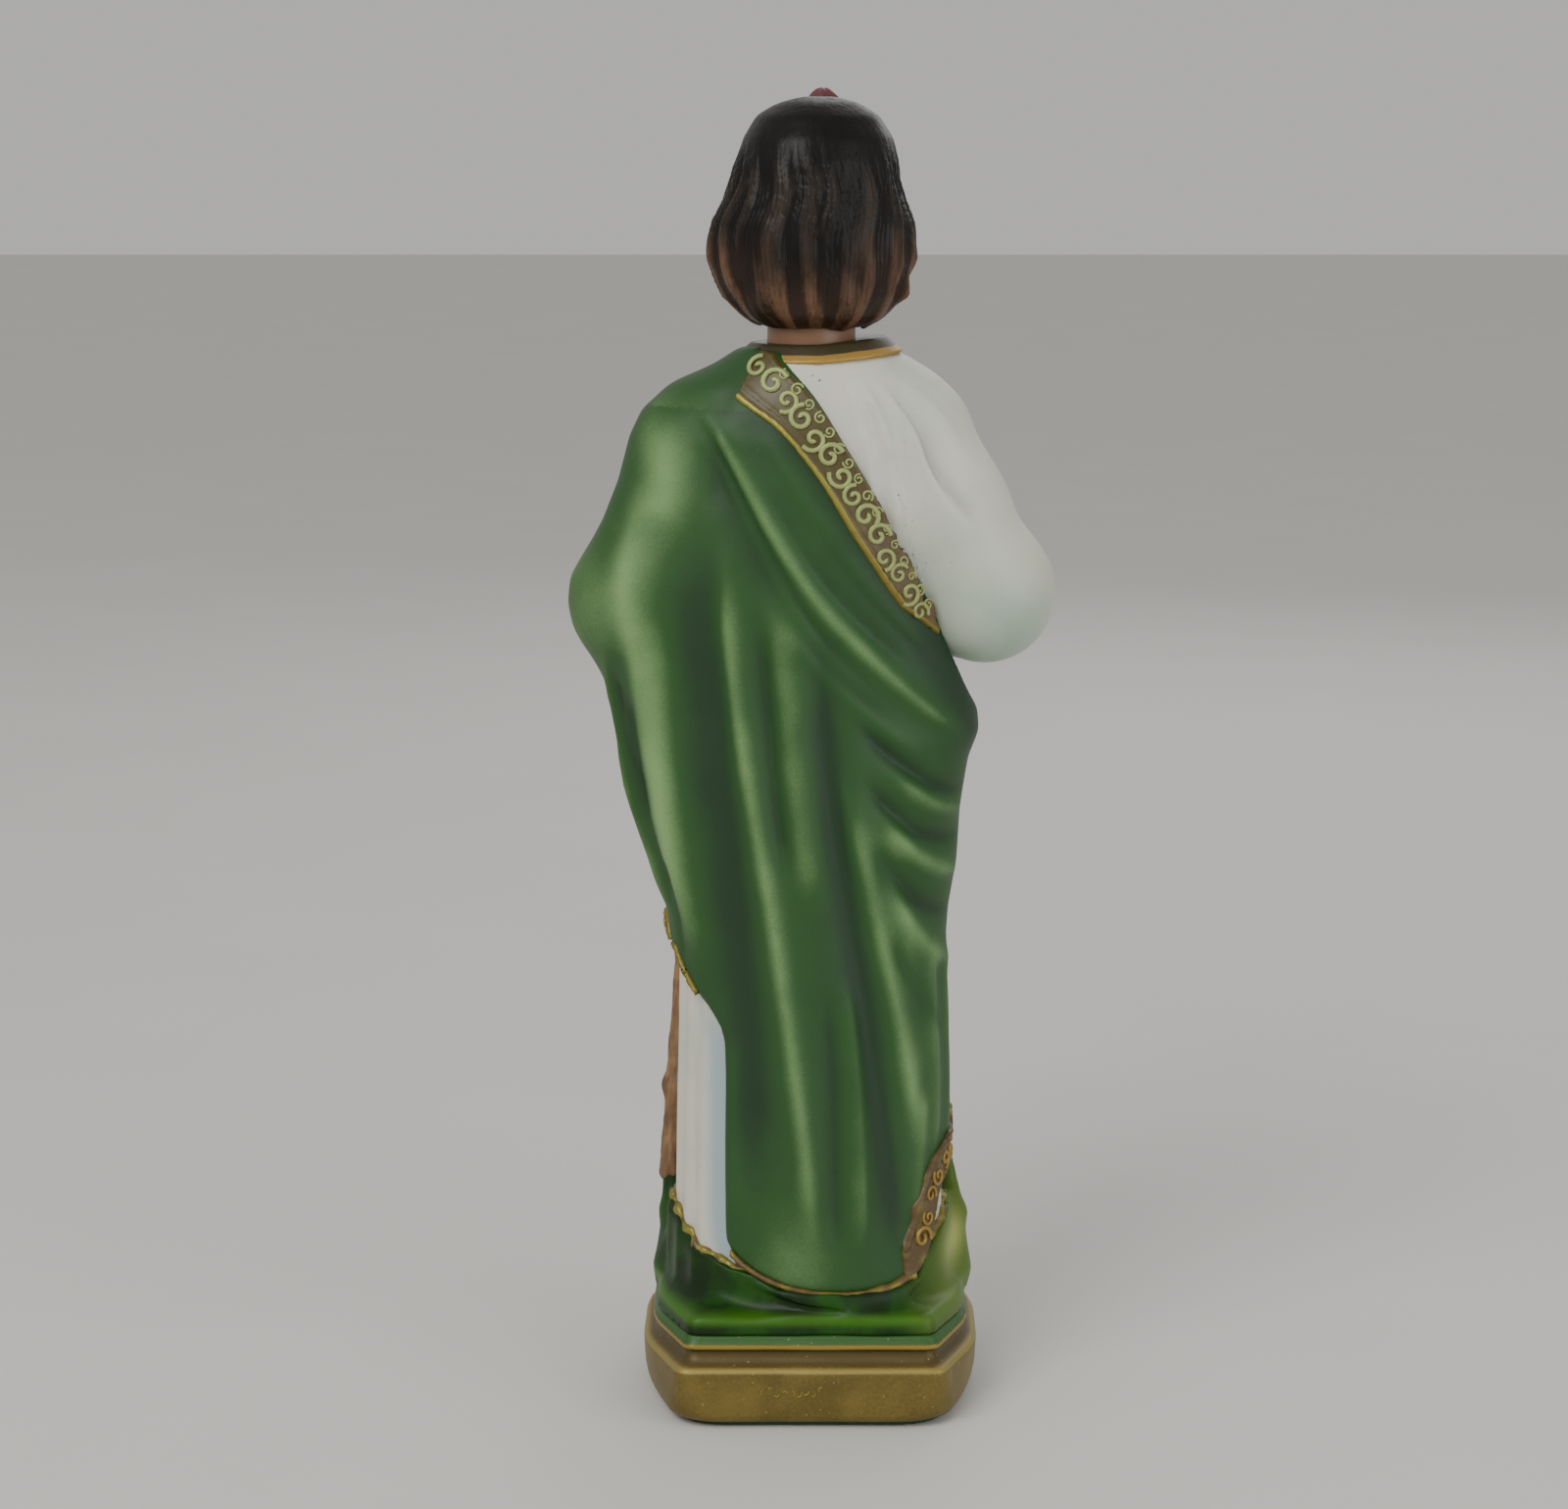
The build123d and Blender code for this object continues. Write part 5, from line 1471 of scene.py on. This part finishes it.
# %% Feet and soles
def foot_field(p, side):
    low, high = corners("left_foot" if side > 0 else "right_foot")
    middle = (low + high) / 2
    q = (p - [middle[0], low[1], low[2]]) * [side, 1, 1]
    foot = limb(q, [((0, 12.5, 2.8), 2.6), ((0, 7.0, 2.4), 2.9), ((0.2, 4.2, 1.5), 2.2)], blend=1.5)
    foot = soft_min(foot, limb(q, [((-2.4, 4.6, 1.4), 1.5), ((2.6, 5.2, 1.2), 1.4)]), 1.6)
    for i in range(5):
        x = -2.9 + 1.5 * i
        tip = 1.2 + 0.16 * i * i
        thick = 1.15 - 0.12 * i
        foot = soft_min(foot, limb(q, [((x, 4.6, 1.5), thick), ((x, tip, 0.9), thick)]), 0.35)
    strap = np.hypot(np.hypot(q[:, 0], q[:, 2] - 1.6) - 3.1, q[:, 1] - 5.6) - 0.55
    foot = soft_min(foot, strap, 0.4)
    return 0.9 * soft_max(foot, -q[:, 2], 0.3)


def sole_field(p, node):
    low, high = corners(node)
    middle = (low + high) / 2
    half = (high - low) / 2
    q = p - middle
    waist = 1 - 0.14 * np.exp(-((q[:, 1] - 1.5) / 3.0) ** 2)
    across = np.abs(q[:, 0]) / (half[0] * waist)
    deep = np.abs(q[:, 1]) / half[1]
    rim = ((across**3 + deep**3) ** (1 / 3) - 1) * half[0]
    return 0.8 * soft_max(rim, np.abs(q[:, 2]) - half[2], 0.5)


def leather_paint():
    paint = Paint("sole_paint")
    cloud = paint.noise(1.6, detail=4)
    colour = paint.mix(cloud.rise(0.3, 0.7), tint(74, 48, 30), tint(104, 70, 44))
    return paint.finish(colour, 0.5 + 0.15 * cloud, bump=cloud, bump_depth=0.06)


leather = leather_paint()
for side, prefix in ((1, "left"), (-1, "right")):
    low, high = corners(prefix + "_foot")
    spots, faces = cast(lambda p, side=side: foot_field(p, side), low - 1.5, high + 1.5, 0.3)
    straps = np.abs(spots[:, 1] - low[1] - 5.6) < 0.75
    piece(prefix + "_foot", spots, faces, skin, skin_marks(spots, 0.75 * straps + 0.1))
    node = prefix + "_sole"
    low, high = corners(node)
    cast_piece(node, lambda p, node=node: sole_field(p, node), low - 1.2, high + 1.2, 0.35, leather)

# %% [markdown]
# ## Plinth and ground
#
# The plinth is a flat box with two cut corners, a groove under its cap and a bright bead round the cap. The
# ground slopes up from it to the robe, and rises at both sides in curved fins of rock that hug the cloth.

# %% Cut-corner plan
PLINTH_LOW, PLINTH_HIGH = corners("plinth")
PLAN_MIDDLE = (PLINTH_LOW + PLINTH_HIGH) / 2
PLAN_HALF = (PLINTH_HIGH - PLINTH_LOW) / 2
CUT_ACROSS = 6.0
CUT_DEEP = 15.5
GROUND_INSET = 2.15
FELT_INSET = 2.2
EDGE_HIGH = PLINTH_TOP + 2.7


def plan(p, inset, rounding=1.5):
    """Distance outside the plinth's outline, moved in by inset, seen from above."""
    x = np.abs(p[:, 0] - PLAN_MIDDLE[0])
    y = np.abs(p[:, 1] - PLAN_MIDDLE[1])
    sides = np.maximum(x - PLAN_HALF[0], y - PLAN_HALF[1])
    normal = np.array([CUT_DEEP, CUT_ACROSS]) / math.hypot(CUT_DEEP, CUT_ACROSS)
    corner = (x - PLAN_HALF[0] + CUT_ACROSS) * normal[0] + (y - PLAN_HALF[1]) * normal[1]
    return soft_max(sides, corner, rounding) + inset


PROFILE_INSETS = [
    # height above the resting face, inset
    (PLINTH_LOW[2], 1.3), (PLINTH_LOW[2] + 0.4, 0.7), (PLINTH_LOW[2] + 1.3, 0.15), (PLINTH_LOW[2] + 3, 0.0),
    (PLINTH_LOW[2] + 8.2, 0.05), (PLINTH_LOW[2] + 8.9, 0.45), (PLINTH_LOW[2] + 9.2, 1.3),
    (PLINTH_LOW[2] + 10.0, 2.1), (PLINTH_LOW[2] + 11.2, 2.5), (PLINTH_LOW[2] + 11.6, 1.75),
    (PLINTH_LOW[2] + 12.1, 1.5), (PLINTH_LOW[2] + 12.6, 1.75), (PLINTH_LOW[2] + 12.9, 2.1), (PLINTH_TOP, 2.2),
]


def plinth_field(p):
    heights, insets = zip(*PROFILE_INSETS)
    inset = np.interp(p[:, 2], heights, insets)
    rounding = np.interp(p[:, 2], [0, 6, 10], [6.0, 3.0, 1.5])
    side = 0.75 * (plan(p, inset, rounding) - 0.1 * ripple(p, 16, 41))
    flat = np.maximum(p[:, 2] - PLINTH_TOP, PLINTH_LOW[2] - p[:, 2])
    return soft_max(side, flat, 0.5)


def plinth_paint():
    paint = Paint("plinth_paint")
    z = paint.height()
    cloud = paint.noise(8, detail=5)
    fine = paint.noise(0.5, detail=2)
    face = paint.mix((cloud + (fine - 0.5) * 0.5).rise(0.3, 0.75), tint(102, 86, 36), tint(124, 107, 48))
    # Painted highlight: a paler gold line along the block's rounded top edge.
    rim = z.rise(8.9, 9.3) * (1 - z.rise(9.7, 10.0))
    face = paint.mix(rim * 0.55, face, tint(172, 154, 86))
    # Painted shade: darker brown in the groove under the cap.
    cove_shade = z.rise(9.8, 10.3) * (1 - z.rise(12.2, 12.5))
    colour = paint.mix(cove_shade, face, tint(84, 70, 30))
    colour = paint.mix(z.rise(12.3, 12.6) * (1 - z.rise(13.0, 13.3)), colour, tint(152, 132, 58))
    colour = paint.mix(z.rise(13.1, 13.5), colour, tint(36, 84, 16))
    colour = paint.mix(paint.specks(0.7, 0.1) * 0.5, colour, tint(190, 176, 118))
    return paint.finish(colour, 0.42 + 0.15 * cloud, 0.45 * (1 - z.rise(13.2, 13.6)), bump=fine,
                        bump_depth=0.04,
                        coat=0.1, coat_rough=0.4)


# %% Ground with its fins of rock
FINS = [
    # a fin's foot, middle and tip, each a point and a radius
    [((20.6, -5.0, GROUND - 1), 4.2), ((21.8, -8.8, GROUND + 6), 2.3), ((22.4, -10.0, GROUND + 12.8), 1.5)],
    [((20.4, -14.0, GROUND - 1), 3.6), ((20.6, -13.4, GROUND + 7), 0.9)],
    [((-21.4, -4.0, GROUND - 1), 4.4), ((-22.8, -6.0, GROUND + 6.5), 2.3),
     ((-22.4, -7.6, GROUND + 15.0), 0.7)],
    [((-20.6, -14.0, GROUND - 1), 3.6), ((-21.6, -13.0, GROUND + 9), 0.9)],
]


def ground_field(p):
    """A slab with a bevelled edge, swept up to the cloth, and fins joined to it in soft hollows."""
    z = p[:, 2]
    side = 0.8 * (plan(p, GROUND_INSET + 0.25 * np.clip(z - PLINTH_TOP, 0, 9), 1.5) - 0.12 * ripple(p, 12,
                                                                                                    51))
    slope = 0.5 * (z - EDGE_HIGH + 0.22 * plan(p, 3.0) + 0.2 * ripple(p, 13, 52)) * 1.8
    slab = soft_max(side, slope, 0.7)
    cloth_skin = np.minimum(white_cloth(p), np.maximum(mantle_skin(p), mantle_margin(p)))
    skirt = soft_max(cloth_skin - 0.9, 0.9 * (z - ground_line(p) - 0.25 * ripple(p, 8, 54)), 0.7)
    field = soft_min(slab, skirt, 3.5)
    under_mantle = soft_max(mantle_skin(p) + 0.1, under_edge.at(p) + 0.2, 0.4)
    field = soft_min(field, np.maximum(under_mantle, z - ground_line(p) - 1.6), 1.2)
    for fin in FINS:
        field = soft_min(field, limb(p, fin, blend=1.5) - 0.06 * ripple(p, 7, 53), 3.4)
    field = soft_max(field, -(white_cloth(p) + 0.05), 0.3)
    field = np.maximum(field, -(cloth_skin - 0.05))
    return 0.9 * soft_max(field, PLINTH_TOP - z, 0.3)


def ground_paint():
    paint = Paint("ground_paint")
    z = paint.height()
    cloud = paint.noise(7, detail=4)
    colour = paint.mix(cloud.rise(0.4, 0.7), tint(15, 40, 5), tint(26, 74, 7))
    # Painted highlight: a brighter green band along the ground slab's upright edge.
    edge = z.rise(PLINTH_TOP + 0.8, PLINTH_TOP + 2.2) * (1 - z.rise(PLINTH_TOP + 2.4, PLINTH_TOP + 3.6))
    colour = paint.mix(edge * 0.55, colour, tint(74, 128, 22))
    colour = paint.mix(paint.kept("right") * 0.8, colour, tint(88, 112, 36))
    colour = paint.mix(paint.kept("pale"), colour, tint(176, 184, 100))
    return paint.finish(colour, 0.34 + 0.16 * cloud, bump=paint.noise(1.6), bump_depth=0.04, shine=0.25)


def felt_field(p):
    return soft_max(plan(p, FELT_INSET, 6.0), np.abs(p[:, 2] - 0.5 * PLINTH_LOW[2]) - 0.5 * PLINTH_LOW[2],
                    0.2)


def felt_paint():
    paint = Paint("felt")
    fibre = paint.noise(0.5, detail=4)
    return paint.finish(paint.mix(fibre, tint(28, 62, 40), tint(48, 88, 58)), 0.9, bump=fibre, bump_depth=0.1)


cast_piece("felt_pad", felt_field, (PLINTH_LOW[0] - 1, PLINTH_LOW[1] - 1, -1),
           (PLINTH_HIGH[0] + 1, PLINTH_HIGH[1] + 1, 2), 0.4, felt_paint())
cast_piece("plinth", plinth_field, PLINTH_LOW - 1.5, PLINTH_HIGH + 1.5, 0.55, plinth_paint())
spots, faces = cast(ground_field, (-29, -29, PLINTH_TOP - 1.5), (29, 26, GROUND + 22), 0.5)
right_side = np.clip((-spots[:, 0] - 14) / 8, 0, 1)
pale_patch = np.exp(-(((spots[:, 0] + 23) / 1.7) ** 2 + ((spots[:, 2] - GROUND - 4.5) / 3.2) ** 2))
piece("ground", spots, faces, ground_paint(), {"right": right_side, "pale": 0.8 * pale_patch})

# %% [markdown]
# ## Curls along the borders
#
# The borders carry a row of moulded curls, each a small spiral of plaster. One Geometry Nodes tree makes a
# curl and sets copies along a line, upright on the cloth, every second one turned over. The same tree, with
# other numbers, makes the row of small marks on the plinth.

# %% The tree
def curl_tree():
    tree = bpy.data.node_groups.new("curls_along_line", "GeometryNodeTree")
    face = tree.interface
    face.new_socket("Geometry", in_out="INPUT", socket_type="NodeSocketGeometry")
    for label, kind in (("Turns", "Float"), ("Inner", "Float"), ("Outer", "Float"), ("Thickness", "Float"),
                        ("Vary", "Float"), ("Seed", "Int"), ("Material", "Material")):
        face.new_socket(label, in_out="INPUT", socket_type="NodeSocket" + kind)
    face.new_socket("Geometry", in_out="OUTPUT", socket_type="NodeSocketGeometry")

    def node(kind, sockets=(), **settings):
        made = tree.nodes.new(kind)
        for key, value in settings.items():
            setattr(made, key, value)
        for key, value in sockets:
            if isinstance(value, bpy.types.NodeSocket):
                tree.links.new(value, made.inputs[key])
            else:
                made.inputs[key].default_value = value
        return made

    entry = node("NodeGroupInput").outputs
    spiral = node("GeometryNodeCurveSpiral", [("Resolution", 14), ("Rotations", entry["Turns"]),
                                              ("Start Radius", entry["Inner"]),
                                              ("End Radius", entry["Outer"]),
                                              ("Height", 0.0)])
    round_wire = node("GeometryNodeCurvePrimitiveCircle", [("Resolution", 7), ("Radius", entry["Thickness"])])
    wire = node("GeometryNodeCurveToMesh",
                [("Curve", spiral.outputs[0]), ("Profile Curve", round_wire.outputs[0]),
                                            ("Fill Caps", True)])
    turned = node("GeometryNodeInputNamedAttribute", [("Name", "turned")], data_type="FLOAT_VECTOR")
    upright_way = node("GeometryNodeInputNamedAttribute", [("Name", "out")], data_type="FLOAT_VECTOR")
    sizes = node("FunctionNodeRandomValue", [(2, 0.78), (3, 1.15), ("Seed", entry["Seed"])])
    by_size = node("ShaderNodeMix", [(0, entry["Vary"]), (2, 1.0), (3, sizes.outputs[1])], data_type="FLOAT")
    face_out = node("FunctionNodeAlignRotationToVector", [("Vector", upright_way.outputs[0])], axis="Z")
    spin = node("FunctionNodeAlignRotationToVector", [("Rotation", face_out.outputs[0]),
                                                      ("Vector", turned.outputs[0])], axis="X",
                pivot_axis="Z")
    copies = node("GeometryNodeInstanceOnPoints",
                  [("Points", entry["Geometry"]), ("Instance", wire.outputs[0]),
                                                   ("Rotation", spin.outputs[0]),
                   ("Scale", by_size.outputs[0])])
    real = node("GeometryNodeRealizeInstances", [("Geometry", copies.outputs[0])])
    painted = node("GeometryNodeSetMaterial",
                   [("Geometry", real.outputs[0]), ("Material", entry["Material"])])
    node("NodeGroupOutput", [("Geometry", painted.outputs[0])])
    return tree


CURLS = curl_tree()


def curls(name, points, outs, turns, values, material, node):
    """Runs the tree on points, each with an outward and a sideways direction, and keeps a plain mesh."""
    seed_mesh = bpy.data.meshes.new(name + "_points")
    seed_mesh.from_pydata((np.array(points) * MM).tolist(), [], [])
    for key, vectors in (("out", outs), ("turned", turns)):
        layer = seed_mesh.attributes.new(key, "FLOAT_VECTOR", "POINT")
        layer.data.foreach_set("vector", np.asarray(vectors, np.float32).ravel())
    row = bpy.data.objects.new(name, seed_mesh)
    bpy.context.collection.objects.link(row)
    maker = row.modifiers.new("curls", "NODES")
    maker.node_group = CURLS
    sockets = {item.name: item.identifier for item in CURLS.interface.items_tree if item.in_out == "INPUT"}
    for key, value in values.items():
        maker[sockets[key]] = value
    maker[sockets["Material"]] = material
    bpy.context.view_layer.update()
    shown = row.evaluated_get(bpy.context.evaluated_depsgraph_get())
    mesh = bpy.data.meshes.new_from_object(shown)
    row.modifiers.remove(maker)
    row.data = mesh
    mesh.shade_smooth()
    for key, value in (("stands", 0.85), ("back", 0.35)):
        layer = mesh.attributes.new(key, "FLOAT", "POINT")
        layer.data.foreach_set("value", np.full(len(mesh.vertices), value, np.float32))
    return finish_piece(row, material, node)


# %% Curls on the borders
def on_skin(turn, z):
    """The mantle's surface at a turn and a height, and the way it faces."""
    p = MANTLE.spot(np.array(turn, float), np.array(z, float))
    for _ in range(4):
        value, gradient = slope(mantle_skin, p, 0.2)
        p = p - (value / (gradient**2).sum(axis=1))[:, None] * gradient
    return p, gradient / np.linalg.norm(gradient, axis=1)[:, None]


def along_edge(edge, way, depth, where, pitch):
    """Evenly spaced places at a depth inside the mantle's edge, as turns and heights in order along it."""
    turns, heights = edge.turns, edge.heights
    near_line = np.abs(way * edge.values - depth) < 0.45
    near_line &= where(turns) & (mantle_map < -1.2)
    places = np.stack([turns[near_line], heights[near_line]], axis=1).astype(float)
    spots = MANTLE.spot(places[:, 0], places[:, 1])
    chosen = []
    start = int(np.argmax(places[:, 1]))
    left = np.ones(len(places), bool)
    here = start
    while True:
        chosen.append(here)
        gap = np.linalg.norm(spots - spots[here], axis=1)
        left &= gap > 0.93 * pitch
        if not left.any():
            break
        options = np.where(left, gap, np.inf)
        here = int(np.argmin(options))
        if options[here] > 1.8 * pitch:
            break
    return places[chosen]


mantle_map = soft_max(over_edge.values, -under_edge.values, 1.0)
rows = [
    # CAD node, edge, way in, depth, part of the turn, pitch, outer radius
    ("mantle_border_back", over_edge, -1, 3.3, lambda t: (t > -40) & (t < 56), 3.7, 2.0),
    ("mantle_border_back", over_edge, -1, 1.0, lambda t: (t > -20) & (t < 62), 2.6, 0.9),
    ("mantle_border_front", over_edge, -1, 2.4, lambda t: (t <= -128) | (t >= 115), 3.4, 1.55),
    ("mantle_border_side", under_edge, 1, 2.2, lambda t: (t > -108) & (t < -90), 3.2, 1.35),
    ("mantle_border_lower", under_edge, 1, 2.5, lambda t: (t <= -110) | (t >= 54), 3.5, 1.75),
]
for number, (node_name, edge, way, depth, where, pitch, outer) in enumerate(rows):
    places = along_edge(edge, way, depth, where, pitch)
    points, outs = on_skin(places[:, 0], places[:, 1])
    ahead = np.roll(points, -1, axis=0) - points
    ahead[-1] = points[-1] - points[-2]
    ahead[1::2] *= -1
    ahead = ahead + 0.8 * pitch * np.random.default_rng(3).normal(size=ahead.shape)
    finish = pale_gilt if node_name == "mantle_border_back" else old_gilt
    curls(f"{node_name.replace('border', 'curls')}_{number + 1}", points + 0.5 * outs, outs, ahead,
          {"Turns": 1.25, "Inner": 0.25 * MM, "Outer": outer * MM, "Thickness": 0.2 * outer * MM,
           "Vary": 1.0, "Seed": 5},
          finish, node_name)

# %% Marks on the plinth
draw = np.random.default_rng(12)
mark_x = np.linspace(7.5, -1.5, 9)
mark_points = [(x, PLINTH_HIGH[1] - 0.02, PLINTH_LOW[2] + 5.4 + 0.35 * draw.uniform(-1, 1)) for x in mark_x]
mark_turns = [(math.cos(a), 0, math.sin(a)) for a in draw.uniform(0, 6.28, len(mark_x))]
curls("plinth_marks", mark_points, [(0, 1, 0)] * len(mark_x), mark_turns,
      {"Turns": 0.4, "Inner": 0.3 * MM, "Outer": 0.55 * MM, "Thickness": 0.1 * MM, "Vary": 1.0, "Seed": 8},
      gilt, "plinth")

# %% [markdown]
# ## Hidden pieces
#
# The plug and the wires are the CAD meshes themselves, with a paint each.

# %% Cork and wire
def cork_paint():
    paint = Paint("cork")
    grain = paint.noise(1.3, detail=3)
    colour = paint.mix(grain.rise(0.35, 0.65), tint(112, 78, 48), tint(176, 136, 92))
    return paint.finish(colour, 0.8, bump=grain, bump_depth=0.15)


def wire_paint():
    paint = Paint("steel_wire")
    drawn = paint.noise(0.4, detail=2, stretch=(1, 1, 0.1))
    return paint.finish(paint.mix(drawn, tint(150, 150, 150), tint(186, 184, 180)), 0.3 + 0.15 * drawn, 1.0)


hidden = {"cork": cork_paint(), "steel_wire": wire_paint()}
for part in frame["record"]["subparts"]:
    if part["material_slot"] in hidden:
        node = frame["nodes"][part["node"]]
        node.data.materials.clear()
        node.data.materials.append(hidden[part["material_slot"]])
        print("painted as it is:", part["node"])

# %% [markdown]
# ## Studio
#
# A plain pale floor, a large soft light from the upper left behind the camera, and a weak one from the right.

# %% Floor, lights and world
def floor_paint():
    paint = Paint("floor")
    cloud = paint.noise(60, detail=2)
    return paint.finish(paint.mix(cloud, tint(214, 212, 208), tint(220, 218, 214)), 0.75)


bpy.ops.mesh.primitive_plane_add(size=8)
floor = bpy.context.object
floor.name = "floor"
floor.data.materials.append(floor_paint())


def area_light(name, place, aim, size, power, colour):
    """A square light, placed and aimed in millimetres."""
    light = bpy.data.lights.new(name, "AREA")
    light.size = size * MM
    light.energy = power
    light.color = colour
    lamp = bpy.data.objects.new(name, light)
    lamp.location = [v * MM for v in place]
    way = np.array(aim, float) - np.array(place, float)
    flat = math.hypot(way[0], way[1])
    lamp.rotation_euler = (math.atan2(flat, -way[2]), 0, math.atan2(way[1], way[0]) - math.pi / 2)
    bpy.context.collection.objects.link(lamp)
    return lamp


area_light("key", (420, 620, 720), (0, 0, 110), 500, 5.2, (1.0, 0.985, 0.96))
area_light("fill", (-620, 520, 300), (0, 0, 100), 600, 2.2, (0.95, 0.98, 1.0))
area_light("back", (-200, -700, 500), (0, 0, 130), 500, 1.0, (1.0, 1.0, 1.0))
world = bpy.data.worlds.new("studio")
bpy.context.scene.world = world
world.use_nodes = True
world.node_tree.nodes["Background"].inputs["Color"].default_value = tint(206, 205, 203)
world.node_tree.nodes["Background"].inputs["Strength"].default_value = 0.85
